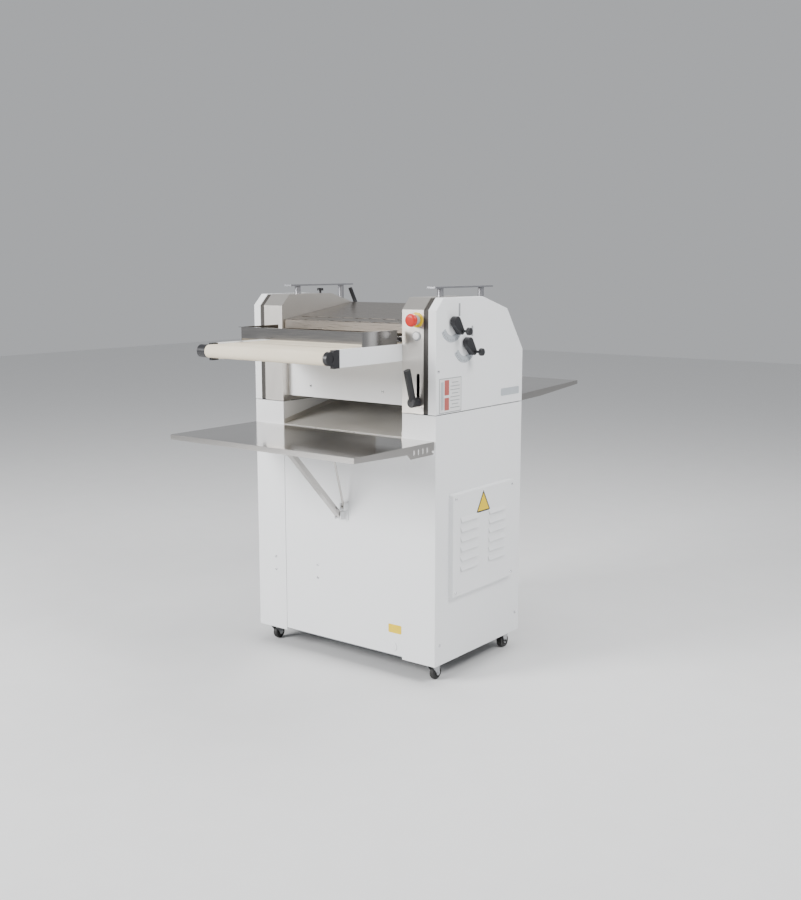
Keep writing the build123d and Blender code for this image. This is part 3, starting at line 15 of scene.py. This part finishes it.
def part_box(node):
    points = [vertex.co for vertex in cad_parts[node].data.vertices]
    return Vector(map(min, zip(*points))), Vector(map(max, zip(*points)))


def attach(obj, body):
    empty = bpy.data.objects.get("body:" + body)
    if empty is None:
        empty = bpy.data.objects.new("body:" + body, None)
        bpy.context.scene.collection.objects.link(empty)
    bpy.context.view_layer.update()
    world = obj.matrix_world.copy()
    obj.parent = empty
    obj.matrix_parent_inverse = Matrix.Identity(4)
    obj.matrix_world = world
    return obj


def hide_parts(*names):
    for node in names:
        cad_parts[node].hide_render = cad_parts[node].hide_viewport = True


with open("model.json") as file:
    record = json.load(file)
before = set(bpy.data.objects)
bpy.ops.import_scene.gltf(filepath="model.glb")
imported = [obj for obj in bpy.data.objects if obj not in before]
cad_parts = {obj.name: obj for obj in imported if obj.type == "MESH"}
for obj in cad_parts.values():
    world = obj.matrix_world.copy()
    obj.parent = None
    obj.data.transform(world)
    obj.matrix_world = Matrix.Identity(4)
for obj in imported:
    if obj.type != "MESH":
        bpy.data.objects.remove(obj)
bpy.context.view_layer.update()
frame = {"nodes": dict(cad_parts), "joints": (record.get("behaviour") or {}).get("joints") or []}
nodes = frame["nodes"]

# %% [markdown]
# ## Where things are
# The main places are read from the boxes of the CAD nodes, so the added pieces sit on the machine as
# it was built. Only labels carry places of their own, because the CAD has no node for them. MM turns
# millimetres into metres, and small details are easier to think of in millimetres.

# %% Places read from the frame
MM = 0.001
side_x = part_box("right_outer_cover")[1].x
front_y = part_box("right_lower_case")[0].y
estop_low, estop_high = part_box("estop_button")
start_low, start_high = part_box("start_button")
centre_x = (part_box("front_tray")[0].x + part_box("front_tray")[1].x) / 2
print("right side at x =", round(side_x, 4), "front at y =", round(front_y, 4))

# %% [markdown]
# ## Camera
# Seen from a person's height, a machine is looked at slightly from above. A longer lens from further
# away keeps its upright edges nearly parallel, as in a catalogue. The two angles are the look down and
# the turn round the machine.

# %% Camera
camera_data = bpy.data.cameras.new("camera")
camera_data.lens = 45.92
camera_data.sensor_width = 36.0
LOOK_DOWN, TURN = 9.26, 37.32
camera = bpy.data.objects.new("camera", camera_data)
camera.location = (2.33475, -3.0251, 1.3028)
camera.rotation_euler = (math.radians(90 - LOOK_DOWN), 0.0, math.radians(TURN))
bpy.context.scene.collection.objects.link(camera)
bpy.context.scene.camera = camera
print("camera to machine:", round(camera.location.length, 3), "m")

# %% [markdown]
# ## A base for every finish
# No real surface has one flat colour. Each finish starts from the same two noises. A slow one, in
# patches as wide as a hand, shifts the colour a little. A fine grain tilts the surface. The gloss
# follows the patches on paint and plastic, as wiping leaves it, and the grain on metal, as brushing
# does. Object coordinates are in metres here, so scales are real.

# %% The shared finish
PATCH_SCALE, PATCH_DETAIL = 9.0, 4.0
GRAIN_DETAIL = 3.0
GLOSS_FROM = (0.3, 0.7)  # noise rarely leaves this band, so it is spread over the whole gloss
BUMP_STRENGTH = 0.35


def link(tree, source, target):
    tree.links.new(source, target)


def surface(name, dark, light, rough, grain_scale, grain_height, stretch=(1, 1, 1), metal=0.0):
    """A finish with colour between dark and light, gloss between two roughnesses and a fine grain."""
    material = bpy.data.materials.new(name)
    material.use_nodes = True
    tree = material.node_tree
    shader = tree.nodes["Principled BSDF"]
    shader.inputs["Metallic"].default_value = metal
    coordinates = tree.nodes.new("ShaderNodeTexCoord")
    mapping = tree.nodes.new("ShaderNodeMapping")
    mapping.inputs["Scale"].default_value = stretch
    link(tree, coordinates.outputs["Object"], mapping.inputs["Vector"])

    patches = tree.nodes.new("ShaderNodeTexNoise")
    patches.inputs["Scale"].default_value = PATCH_SCALE
    patches.inputs["Detail"].default_value = PATCH_DETAIL
    link(tree, coordinates.outputs["Object"], patches.inputs["Vector"])
    grain = tree.nodes.new("ShaderNodeTexNoise")
    grain.inputs["Scale"].default_value = grain_scale
    grain.inputs["Detail"].default_value = GRAIN_DETAIL
    link(tree, mapping.outputs["Vector"], grain.inputs["Vector"])

    colour = tree.nodes.new("ShaderNodeMix")
    colour.data_type = "RGBA"
    colour.inputs["A"].default_value = (*dark, 1)
    colour.inputs["B"].default_value = (*light, 1)
    link(tree, patches.outputs["Fac"], colour.inputs["Factor"])
    link(tree, colour.outputs["Result"], shader.inputs["Base Color"])

    gloss = tree.nodes.new("ShaderNodeMapRange")
    gloss.inputs["From Min"].default_value = GLOSS_FROM[0]
    gloss.inputs["From Max"].default_value = GLOSS_FROM[1]
    gloss.inputs["To Min"].default_value = rough[0]
    gloss.inputs["To Max"].default_value = rough[1]
    link(tree, grain.outputs["Fac"] if metal else patches.outputs["Fac"], gloss.inputs["Value"])
    link(tree, gloss.outputs["Result"], shader.inputs["Roughness"])

    bump = tree.nodes.new("ShaderNodeBump")
    bump.inputs["Strength"].default_value = BUMP_STRENGTH
    bump.inputs["Distance"].default_value = grain_height
    link(tree, grain.outputs["Fac"], bump.inputs["Height"])
    link(tree, bump.outputs["Normal"], shader.inputs["Normal"])
    return material


# %% [markdown]
# ## Powder coat
# The casings are steel sheet sprayed with powder and baked. The coat melts into a skin with a very
# fine orange-peel texture and a soft gloss. The frame inside only gets a dull primer.

# %% Painted finishes
white_coat = surface("white_coat", (0.88, 0.89, 0.90), (0.90, 0.91, 0.92), (0.29, 0.34), 900, 0.00012)
frame_coat = surface("frame_coat", (0.10, 0.11, 0.12), (0.15, 0.16, 0.17), (0.45, 0.6), 500, 0.0002)
motor_enamel = surface("motor_enamel", (0.05, 0.08, 0.14), (0.07, 0.11, 0.18), (0.3, 0.45), 500, 0.0002)
print("painted finishes ready")

# %% [markdown]
# ## Steel
# Stainless steel is never one finish. The trays are nearly mirrors, the chute's colour is made paler
# and half metal as painted light, where the lamps hardly reach, the guard is brushed across the
# machine and the inner cheeks are brushed upright. A brush mark is noise stretched along one axis,
# kept so shallow that it only bends the highlights.

# %% Metal finishes
ALONG_X = (0.02, 1, 1)
ALONG_Z = (1, 1, 0.02)
METALS = {  # dark colour, light colour, two roughnesses, grain scale, grain height, brush, metal
    "tray_steel": ((0.50, 0.48, 0.46), (0.58, 0.56, 0.54), (0.08, 0.16), 700, 0.00001, ALONG_X, 1.0),
    # the chute's colour is paler and half metal, so it catches the front light: painted light where the
    # lamps hardly reach
    "chute_steel_painted_light": ((0.62, 0.60, 0.56), (0.74, 0.72, 0.68), (0.30, 0.42), 700, 0.00001, ALONG_X, 0.55),
    # the guide frame's steel colour is darkened: a painted dark reflection on its mirror front
    "guide_steel_painted_dark": ((0.33, 0.32, 0.31), (0.39, 0.38, 0.37), (0.12, 0.20), 700, 0.00001, ALONG_X, 1.0),
    "brushed_guard": ((0.27, 0.24, 0.21), (0.31, 0.28, 0.25), (0.26, 0.33), 900, 0.00001, ALONG_X, 1.0),
    "cheek_steel": ((0.66, 0.63, 0.59), (0.74, 0.71, 0.67), (0.28, 0.38), 900, 0.00001, ALONG_Z, 0.9),
    "bar_steel": ((0.30, 0.30, 0.32), (0.38, 0.38, 0.40), (0.30, 0.40), 700, 0.00001, ALONG_X, 0.8),
    "plain_steel": ((0.42, 0.43, 0.44), (0.54, 0.55, 0.56), (0.24, 0.36), 700, 0.00002, ALONG_X, 1.0),
    "chrome": ((0.66, 0.66, 0.68), (0.74, 0.74, 0.76), (0.04, 0.10), 400, 0.00001, (1, 1, 1), 1.0),
}
steel = {name: surface(name, *values) for name, values in METALS.items()}
scale_plate = surface("scale_plate", (0.42, 0.45, 0.48), (0.50, 0.53, 0.56), (0.34, 0.44), 600, 0.00003)
print("metal finishes ready")

# %% [markdown]
# ## Rubber, plastic and belt
# Moulded black parts are never pure black, and their grain is coarser than paint. The belt is a
# cotton-faced band, so its surface gets a weave: two sets of waves that cross at right angles. A
# wave texture of scale 1 repeats every 0.314 m, so the scale follows from the thread's width.

# %% Soft and moulded finishes
black_plastic = surface(
    "black_plastic", (0.012, 0.012, 0.014), (0.025, 0.025, 0.028), (0.3, 0.45), 800, 0.0002
)
seal_rubber = surface(
    "seal_rubber", (0.030, 0.026, 0.023), (0.050, 0.045, 0.040), (0.5, 0.7), 500, 0.0003
)
tyre_rubber = surface(
    "tyre_rubber", (0.015, 0.015, 0.015), (0.035, 0.034, 0.033), (0.55, 0.75), 400, 0.0004
)
red_plastic = surface(
    "red_plastic", (0.55, 0.015, 0.010), (0.65, 0.025, 0.015), (0.18, 0.28), 300, 0.00005
)
yellow_plate = surface("yellow_plate", (0.82, 0.56, 0.0), (0.88, 0.62, 0.0), (0.3, 0.42), 400, 0.00006)
white_plastic = surface(
    "white_plastic", (0.76, 0.76, 0.76), (0.82, 0.82, 0.82), (0.22, 0.32), 300, 0.00005
)
grey_plastic = surface(
    "grey_plastic", (0.30, 0.31, 0.32), (0.36, 0.37, 0.38), (0.3, 0.42), 300, 0.00006
)
label_red = surface("label_red", (0.42, 0.09, 0.08), (0.48, 0.12, 0.10), (0.35, 0.45), 300, 0.00003)


WAVE_REPEAT = 0.314


def woven(name, dark, light, thread):
    """A cloth face: warp and weft waves, one thread apart, over the shared finish."""
    material = surface(name, dark, light, (0.72, 0.88), 600, 0.0003)
    tree = material.node_tree
    coordinates = next(n for n in tree.nodes if n.type == "TEX_COORD")
    waves = []
    for direction in ("X", "Y"):
        wave = tree.nodes.new("ShaderNodeTexWave")
        wave.bands_direction = direction
        wave.inputs["Scale"].default_value = WAVE_REPEAT / thread
        wave.inputs["Distortion"].default_value = 0.4
        link(tree, coordinates.outputs["Object"], wave.inputs["Vector"])
        waves.append(wave)
    cloth = tree.nodes.new("ShaderNodeMath")
    cloth.operation = "MULTIPLY"
    link(tree, waves[0].outputs["Fac"], cloth.inputs[0])
    link(tree, waves[1].outputs["Fac"], cloth.inputs[1])
    bump = next(n for n in tree.nodes if n.type == "BUMP")
    link(tree, cloth.outputs["Value"], bump.inputs["Height"])
    return material


belt_cloth = woven("belt_cloth", (0.72, 0.63, 0.47), (0.82, 0.74, 0.60), 1.2 * MM)
print("finishes made:", len(bpy.data.materials))

# %% [markdown]
# ## Dress the CAD nodes
# A node whose shape is already right keeps its mesh and only gets its finish. The list is written by
# finish, the way a paint shop sorts its work.

# %% Finish of each node
finishes = {
    white_coat: (
        "left_lower_case", "right_lower_case", "front_panel", "rear_panel", "infeed_panel",
        "louvre_cover",
        "left_outer_cover", "right_outer_cover", "rear_hood", "conveyor_frame", "tray_brackets",
    ),
    steel["cheek_steel"]: ("left_cheek", "right_cheek"),
    steel["tray_steel"]: ("front_tray", "rear_tray", "tray_strut", "stay_rod"),
    steel["chute_steel_painted_light"]: ("chute", "pressure_board"),
    steel["guide_steel_painted_dark"]: ("guide_frame",),
    steel["brushed_guard"]: ("guard",),
    steel["bar_steel"]: ("top_rails",),
    steel["plain_steel"]: (
        "lower_roller_gears", "roller_bearings", "upper_roller_blocks", "middle_roller_blocks",
        "drive_chains", "motor_sprocket", "scrapers", "infeed_drive_roller", "infeed_front_roller",
        "castor_mounts", "front_left_castor_fork", "front_right_castor_fork",
    ),
    steel["chrome"]: ("case_screws", "upper_roller", "lower_roller", "middle_roller", "rear_roller"),
    frame_coat: ("base_frame", "side_plates", "electrical_box"),
    motor_enamel: ("gear_motor",),
    black_plastic: (
        "roller_caps", "upper_thickness_lever", "lower_thickness_lever", "upper_lever_plunger",
        "lower_lever_plunger", "clamp_lever", "top_knob", "cheek_stalk",
    ),
    seal_rubber: ("gap_seals",),
    tyre_rubber: ("front_left_wheel", "front_right_wheel", "rear_wheels"),
    belt_cloth: ("infeed_belt",),
    scale_plate: ("thickness_scales",),
    red_plastic: ("estop_button",),
    yellow_plate: ("control_bezels",),
    white_plastic: ("start_button",),
}
for finish, members in finishes.items():
    for member in members:
        for slot in nodes[member].material_slots:
            slot.material = finish
dressed = {member for members in finishes.values() for member in members}
print("nodes without a finish:", sorted(set(nodes) - dressed))

# %% [markdown]
# ## A lathe
# Buttons, knobs, screws and wheels are all turned shapes: an outline swept round an axis. One helper
# makes them from a short list of (radius, height) points, with arcs where the real part is rounded.


# %% Turning helper
def rounded(radius, height, bend, steps=6):
    """Outline points of an outer edge of that bend, ending flat at the given height."""
    points = []
    for step in range(steps + 1):
        angle = math.pi / 2 * step / steps
        points.append((radius - bend + bend * math.cos(angle), height - bend + bend * math.sin(angle)))
    return points


def turn(mesh, outline, at, axis, segments=48):
    """Sweep an outline round axis through at, and close both ends."""
    place = Matrix.Translation(at) @ Vector(axis).to_track_quat("Z", "Y").to_matrix().to_4x4()
    rings = []
    for radius, height in outline:
        ring = []
        for step in range(segments):
            angle = 2 * math.pi * step / segments
            point = Vector((radius * math.cos(angle), radius * math.sin(angle), height))
            ring.append(mesh.verts.new(place @ point))
        rings.append(ring)
    for lower, upper in zip(rings, rings[1:]):
        for step in range(segments):
            after = (step + 1) % segments
            mesh.faces.new((lower[step], lower[after], upper[after], upper[step]))
    mesh.faces.new(list(reversed(rings[0])))
    mesh.faces.new(rings[-1])


SHARP_EDGE = math.radians(35)  # edges that turn by more than this stay crisp


def finish_piece(name, mesh, materials, body, replaced=()):
    """Turn a bmesh into a shaded piece that rides on a body."""
    bmesh.ops.recalc_face_normals(mesh, faces=mesh.faces)
    data = bpy.data.meshes.new(name)
    mesh.to_mesh(data)
    mesh.free()
    for material in materials:
        data.materials.append(material)
    piece = bpy.data.objects.new(name, data)
    bpy.context.scene.collection.objects.link(piece)
    data.shade_smooth()
    data.set_sharp_from_angle(angle=SHARP_EDGE)
    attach(piece, body)
    if replaced:
        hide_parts(*replaced)
    print(name, "faces:", len(data.polygons))


# %% [markdown]
# ## Screws
# The cover screws are button heads with a hexagon socket. The CAD gives each one as a plain disc, so
# its place is read from that disc: vertices that lie close together belong to one screw.


# %% Find the screws
def clusters(node, reach):
    """Groups of a node's vertices that lie within reach of each other's first vertex."""
    groups = []
    for vertex in nodes[node].data.vertices:
        for group in groups:
            if (vertex.co - group[0]).length < reach:
                group.append(vertex.co.copy())
                break
        else:
            groups.append([vertex.co.copy()])
    return groups


def disc(group):
    """Centre of a disc, its thin axis and its two faces along that axis."""
    low = Vector([min(point[i] for point in group) for i in range(3)])
    high = Vector([max(point[i] for point in group) for i in range(3)])
    thin = min(range(3), key=lambda i: high[i] - low[i])
    return (low + high) / 2, thin, low[thin], high[thin]


SCREW_REACH = 12 * MM  # wider than one screw head, narrower than the gap between two
screw_groups = clusters("case_screws", SCREW_REACH)
print("screws found:", len(screw_groups))

# %% [markdown]
# A screw's head points away from the middle of the machine, along the disc's thin axis. Its outline
# ends in a step down into the middle, which is the socket.

# %% Make the screws
middle_of_machine = Vector((centre_x, 0.0, 0.0))
SCREW_R, DOME_BEND = 4.5 * MM, 1.6 * MM
SOCKET_R, SOCKET_DEPTH = 2.0 * MM, 1.4 * MM
screws = bmesh.new()
for group in screw_groups:
    centre, thin, near, far = disc(group)
    outward = 1 if (centre - middle_of_machine)[thin] > 0 else -1
    axis = Vector((0, 0, 0))
    axis[thin] = outward
    seat = centre.copy()
    seat[thin] = near if outward > 0 else far
    height = far - near
    dome = rounded(SCREW_R, height, DOME_BEND)
    socket = [(SOCKET_R, height), (SOCKET_R, height - SOCKET_DEPTH)]
    turn(screws, [(SCREW_R, 0), *dome, *socket], seat, axis, 24)
finish_piece("screw_heads", screws, [steel["chrome"]], "machine", ["case_screws"])

# %% [markdown]
# ## Emergency stop and start button
# An emergency stop is a red mushroom on a yellow plate, with a collar between them. Each colour is a
# moulding of its own on the real machine, so each is its own piece here. The collar has a bore that
# the mushroom's stem slides into when it is pushed.

# %% Emergency stop
PLATE_R, PLATE_TOP = 23 * MM, 3 * MM
COLLAR_R, COLLAR_TOP, COLLAR_FLOOR = 15 * MM, 16 * MM, 11 * MM
STEM_R, STEM_END, STEM_PLAY = 7.5 * MM, 15.5 * MM, 0.5 * MM
CAP_UNDER, CAP_RIM, CAP_BEND = 22 * MM, 25 * MM, 9 * MM
estop_x = (estop_low.x + estop_high.x) / 2
estop_z = (estop_low.z + estop_high.z) / 2
FACING = (0, -1, 0)
estop_seat = Vector((estop_x, front_y, estop_z))
plate = bmesh.new()
turn(plate, [(PLATE_R, 0), *rounded(PLATE_R, PLATE_TOP, 1 * MM)], estop_seat, FACING, 64)
finish_piece("estop_plate", plate, [yellow_plate], "machine", ["control_bezels"])

collar = bmesh.new()
collar_bore = [(STEM_R + STEM_PLAY, COLLAR_TOP), (STEM_R + STEM_PLAY, COLLAR_FLOOR)]
outline = [(COLLAR_R, PLATE_TOP), *rounded(COLLAR_R, COLLAR_TOP, 1.5 * MM), *collar_bore]
turn(collar, outline, estop_seat, FACING, 48)
finish_piece("estop_collar", collar, [grey_plastic], "machine")

mushroom = bmesh.new()
cap_top = front_y - estop_low.y
cap_r = (estop_high.x - estop_low.x) / 2
outline = [(STEM_R, STEM_END), (STEM_R, CAP_UNDER), (cap_r - 2 * MM, CAP_UNDER), (cap_r, CAP_RIM)]
outline += rounded(cap_r, cap_top, CAP_BEND, 10)
turn(mushroom, outline, estop_seat, FACING, 64)
finish_piece("estop_mushroom", mushroom, [red_plastic], "estop", ["estop_button"])

# %% [markdown]
# The start button is a flat cap in a round bezel. The bezel's bore goes nearly down to the wall, so
# the cap has room for its travel.

# %% Start button
BEZEL_R, BEZEL_TOP, BORE_FLOOR = 14.5 * MM, 4 * MM, 0.2 * MM
BUTTON_PLAY, BUTTON_UNDER = 0.4 * MM, 3.4 * MM
start_seat = Vector((estop_x, front_y, (start_low.z + start_high.z) / 2))
start_r = (start_high.x - start_low.x) / 2
bezel = bmesh.new()
bore_r = start_r + BUTTON_PLAY
outline = [(BEZEL_R, 0), *rounded(BEZEL_R, BEZEL_TOP, 1 * MM), (bore_r, BEZEL_TOP), (bore_r, BORE_FLOOR)]
turn(bezel, outline, start_seat, FACING)
finish_piece("start_bezel", bezel, [grey_plastic], "machine")
button = bmesh.new()
button_top = front_y - start_low.y
turn(button, [(start_r, BUTTON_UNDER), *rounded(start_r, button_top, 1.2 * MM)], start_seat, FACING)
finish_piece("start_cap", button, [white_plastic], "start", ["start_button"])

# %% [markdown]
# ## Pull knobs
# Each thickness lever is locked by a spring plunger with a fluted knob. The flutes are a ring whose
# radius goes up and down, which fingers can grip even with flour on them.

# %% Knob with flutes
KNOB_R, KNOB_LENGTH, FLUTE_DEPTH = 12 * MM, 13 * MM, 1.2 * MM
PULL_SHAFT_R = 4 * MM
ALONG_MACHINE = (1, 0, 0)


def fluted(mesh, radius, depth, low, high, at, axis, flutes=12, segments=96):
    """A knob whose outline waves in and out, with rounded ends."""
    first = len(mesh.verts)
    outline = [(radius - 2 * MM, low), (radius, low + 1.5 * MM), *rounded(radius, high, 3 * MM)]
    turn(mesh, outline, at, axis, segments)
    mesh.verts.ensure_lookup_table()
    line = Vector(axis).normalized()
    for index in range(first, len(mesh.verts)):
        vertex = mesh.verts[index]
        step = (index - first) % segments
        along = (vertex.co - at).dot(line) * line
        out = vertex.co - at - along
        wave = 0.5 + 0.5 * math.cos(2 * math.pi * flutes * step / segments)
        vertex.co = at + along + out * (1 - depth / radius * wave)


for level in ("upper", "lower"):
    low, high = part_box(f"{level}_lever_plunger")
    axis_point = Vector((low.x, (low.y + high.y) / 2, (low.z + high.z) / 2))
    length = high.x - low.x
    knob = bmesh.new()
    shaft = [(PULL_SHAFT_R, 0), (PULL_SHAFT_R, length - KNOB_LENGTH)]
    turn(knob, shaft, axis_point, ALONG_MACHINE, 32)
    fluted(knob, KNOB_R, FLUTE_DEPTH, length - KNOB_LENGTH, length, axis_point, ALONG_MACHINE)
    finish_piece(
        f"{level}_pull_knob", knob, [black_plastic], f"{level}_plunger",
        [f"{level}_lever_plunger"],
    )

# %% [markdown]
# ## Castor wheels
# A small castor wheel is a hub with a rubber tread moulded on it, both dark here. The outline has a
# crowned tread and a dished side, so the hub shows between the fork's legs.

# %% Wheels
AXLE_R, HUB_R, DISH = 5 * MM, 9 * MM, 2 * MM
CROWN, CROWN_STEPS = 3 * MM, 8


def castor_wheel(mesh, centre, radius, half_width):
    """A wheel with a crowned tread and dished sides, turned about the machine's x axis."""
    dished = half_width - DISH
    web_r, rim_in, rim_out = 10 * MM, radius - 6 * MM, radius - 4 * MM
    outline = [(AXLE_R, -half_width), (HUB_R, -half_width), (web_r, -half_width + DISH)]
    outline += [(rim_in, -half_width + DISH), (rim_out, -half_width)]
    for step in range(CROWN_STEPS + 1):
        angle = math.pi * (step / CROWN_STEPS - 0.5)
        tread_r = radius - CROWN + CROWN * math.cos(angle)
        outline.append((tread_r, (half_width - 1 * MM) * math.sin(angle)))
    outline += [(rim_out, half_width), (rim_in, dished)]
    outline += [(web_r, dished), (HUB_R, half_width), (AXLE_R, half_width)]
    turn(mesh, outline, centre, ALONG_MACHINE, 64)


for side in ("left", "right"):
    low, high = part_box(f"front_{side}_wheel")
    wheel = bmesh.new()
    castor_wheel(wheel, (low + high) / 2, (high.z - low.z) / 2, (high.x - low.x) / 2)
    finish_piece(
        f"front_{side}_castor_wheel", wheel, [tyre_rubber], f"front_{side}_wheel",
        [f"front_{side}_wheel"],
    )

# %% [markdown]
# ## Plates and labels
# Printed labels are thin plates with rounded corners. These are blank and generic: a data plate with
# plain bars, a plain name plate, a plain yellow triangle and a plain yellow tag. Each is a stack of
# flat prisms that stand off the wall by a layer or two, so that no two faces lie in one plane.


# %% Flat plate helper
def plate_outline(width, height, bend, steps=5):
    """Corner points of a rounded rectangle round the origin."""
    points = []
    for quarter, (sx, sy) in enumerate(((1, 1), (-1, 1), (-1, -1), (1, -1))):
        for step in range(steps + 1):
            angle = math.pi / 2 * (quarter + step / steps)
            x = sx * (width / 2 - bend) + bend * math.cos(angle)
            y = sy * (height / 2 - bend) + bend * math.sin(angle)
            points.append((x, y))
    return points


def slab(mesh, points, across, up, at, base, top, material_index=0):
    """A flat prism from outline points, standing out of a wall between base and top."""
    outward = across.cross(up)
    rings = []
    for height in (base, top):
        rings.append([mesh.verts.new(at + across * x + up * y + outward * height) for x, y in points])
    count = len(points)
    faces = [mesh.faces.new(list(reversed(rings[0]))), mesh.faces.new(rings[1])]
    for step in range(count):
        after = (step + 1) % count
        faces.append(mesh.faces.new((rings[0][step], rings[0][after], rings[1][after], rings[1][step])))
    for face in faces:
        face.material_index = material_index


SIDE_ACROSS, FRONT_ACROSS, UP = Vector((0, 1, 0)), Vector((1, 0, 0)), Vector((0, 0, 1))
THIN = 0.3 * MM

# %% Data plate on the right side
data_plate = bmesh.new()
PLATE_WIDE, PLATE_HIGH = 118, 106
plate_at = Vector((side_x, -171 * MM, 906 * MM))
PAPER, RED, GREY, PALE = range(4)
LAYERS = (  # width, height, sideways, upwards, layer above the wall, colour
    (PLATE_WIDE, PLATE_HIGH, 0, 0, 0, GREY),
    (PLATE_WIDE - 5, PLATE_HIGH - 5, 0, 0, 1, PAPER),
    (24, 46, -20, 24, 2, RED),
    (24, 38, -20, -26, 2, RED),
    (14, 84, -44, 0, 2, PALE),
)
ROWS, ROW_TOP, ROW_STEP = 8, 38, 11
for wide, high, sideways, upwards, layer, index in LAYERS:
    layer_at = plate_at + SIDE_ACROSS * sideways * MM + UP * upwards * MM
    outline = plate_outline(wide * MM, high * MM, 1.2 * MM)
    slab(data_plate, outline, SIDE_ACROSS, UP, layer_at, layer * THIN, (layer + 1) * THIN, index)
for row in range(ROWS):
    row_at = plate_at + SIDE_ACROSS * 24 * MM + UP * (ROW_TOP - ROW_STEP * row) * MM
    width = (50 if row % 3 else 34) * MM
    outline = plate_outline(width, 2.4 * MM, 0.5 * MM)
    slab(data_plate, outline, SIDE_ACROSS, UP, row_at, 2 * THIN, 3 * THIN, GREY)
plate_finishes = [white_plastic, label_red, grey_plastic, scale_plate]
finish_piece("data_plate", data_plate, plate_finishes, "machine")

# %% [markdown]
# The name plate sits on the right cover, the triangle on the louvred cover, which stands out from the
# side, and the tag on the front panel, which stands back a little between its casings.

# %% Name plate, triangle and tag
LOUVRE_COVER_PROUD, PANEL_BACK = 18 * MM, 2 * MM
name_plate = bmesh.new()
name_at = Vector((side_x, 170 * MM, 889 * MM))
slab(name_plate, plate_outline(110 * MM, 24 * MM, 4 * MM), SIDE_ACROSS, UP, name_at, 0, 0.6 * MM)
finish_piece("blank_name_plate", name_plate, [scale_plate], "machine")

triangle = bmesh.new()
triangle_at = Vector((side_x + LOUVRE_COVER_PROUD, -8 * MM, 553 * MM))
for size, base, top, index in ((80, 0, THIN, 0), (64, THIN, 1.5 * THIN, 1)):
    half = size / 2 * MM
    rise = size * math.sqrt(3) / 2 * MM
    corners = [(half, -rise / 3), (0, rise * 2 / 3), (-half, -rise / 3)]
    slab(triangle, corners, SIDE_ACROSS, UP, triangle_at - UP * 11 * MM, base, top, index)
finish_piece("blank_triangle", triangle, [black_plastic, yellow_plate], "machine")

tag = bmesh.new()
tag_at = Vector((centre_x + 217.5 * MM, front_y + PANEL_BACK, 154 * MM))
slab(tag, plate_outline(52 * MM, 28 * MM, 4 * MM), FRONT_ACROSS, UP, tag_at, 0, THIN)
finish_piece("blank_tag", tag, [yellow_plate], "machine")

# %% [markdown]
# A short grey strip stands on the cover above each thickness lever's knob, at the same offset from
# each knob. It has no moving part, so both strips are one thin piece on the cover.

# %% Grey strips above the levers
STRIPS = ((-126, 1143, 1182), (-55, 1080, 1111))  # place from front to back, low end, high end
strips = bmesh.new()
for strip_y, strip_low, strip_high in STRIPS:
    strip_at = Vector((side_x, strip_y * MM, (strip_low + strip_high) / 2 * MM))
    outline = plate_outline(8 * MM, (strip_high - strip_low) * MM, 1 * MM)
    slab(strips, outline, SIDE_ACROSS, UP, strip_at, 0, 0.8 * MM)
finish_piece("grey_strips_above_knobs", strips, [grey_plastic], "machine")

# %% [markdown]
# ## Scale marks
# The crescent plates behind the levers are dials. Short dark ticks round the arc say that without
# any lettering. Each tick is a thin bar turned to point at its lever's pivot.

# %% Ticks on the dials
TICKS, TICK_START, TICK_STEP, DIAL_R = 12, -146, 9, 56 * MM
ticks = bmesh.new()
scale_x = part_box("thickness_scales")[1].x
joint_at = {joint["name"]: Vector(joint["pos_m"]) for joint in frame["joints"] if joint.get("pos_m")}
for level in ("upper", "lower"):
    pivot = joint_at[f"{level}_lever_turn"]
    for step in range(TICKS):
        angle = math.radians(TICK_START + TICK_STEP * step)
        along = Vector((0, math.cos(angle), math.sin(angle)))
        across = Vector((0, -math.sin(angle), math.cos(angle)))
        centre = Vector((scale_x, pivot.y, pivot.z)) + along * DIAL_R
        length = (8 if step % 3 == 0 else 5) * MM
        slab(ticks, plate_outline(length, 1 * MM, 0.3 * MM), along, across, centre, 0, THIN)
finish_piece("dial_ticks", ticks, [black_plastic], "machine")

# %% [markdown]
# ## Floor and light
# A plain pale floor and three soft lamps: a strong key from the front left, a lamp high on the right
# that rakes down the side so that the louvres show, and one from above that edges the trays.

# %% Floor
FLOOR_HALF = 12.0
floor_mesh = bmesh.new()
bmesh.ops.create_grid(floor_mesh, x_segments=1, y_segments=1, size=FLOOR_HALF)
floor_data = bpy.data.meshes.new("floor")
floor_mesh.to_mesh(floor_data)
floor_mesh.free()
floor_finish = surface("pale_floor", (0.80, 0.80, 0.80), (0.84, 0.84, 0.84), (0.6, 0.7), 60, 0.0002)
floor_data.materials.append(floor_finish)
floor = bpy.data.objects.new("floor", floor_data)
bpy.context.scene.collection.objects.link(floor)


# %% Lamps and sky
def soft_lamp(name, place, aim, size, power):
    """A square lamp at a place, turned towards the aim; size in metres, power in watts."""
    lamp_data = bpy.data.lights.new(name, "AREA")
    lamp_data.shape = "SQUARE"
    lamp_data.size = size
    lamp_data.energy = power
    lamp = bpy.data.objects.new(name, lamp_data)
    lamp.location = place
    lamp.rotation_euler = (Vector(aim) - Vector(place)).to_track_quat("-Z", "Y").to_euler()
    bpy.context.scene.collection.objects.link(lamp)


aim = (0, 0, 0.8)
soft_lamp("key", (-2.2, -4.4, 2.6), aim, 1.8, 350)
soft_lamp("fill", (2.9, -0.4, 3.4), aim, 1.4, 120)
soft_lamp("top", (0.2, 1.2, 4.0), aim, 2.4, 90)
world = bpy.data.worlds.new("studio")
world.use_nodes = True
world.node_tree.nodes["Background"].inputs["Color"].default_value = (0.92, 0.94, 0.97, 1)
world.node_tree.nodes["Background"].inputs["Strength"].default_value = 0.5
bpy.context.scene.world = world
print("lamps:", len(bpy.data.lights))
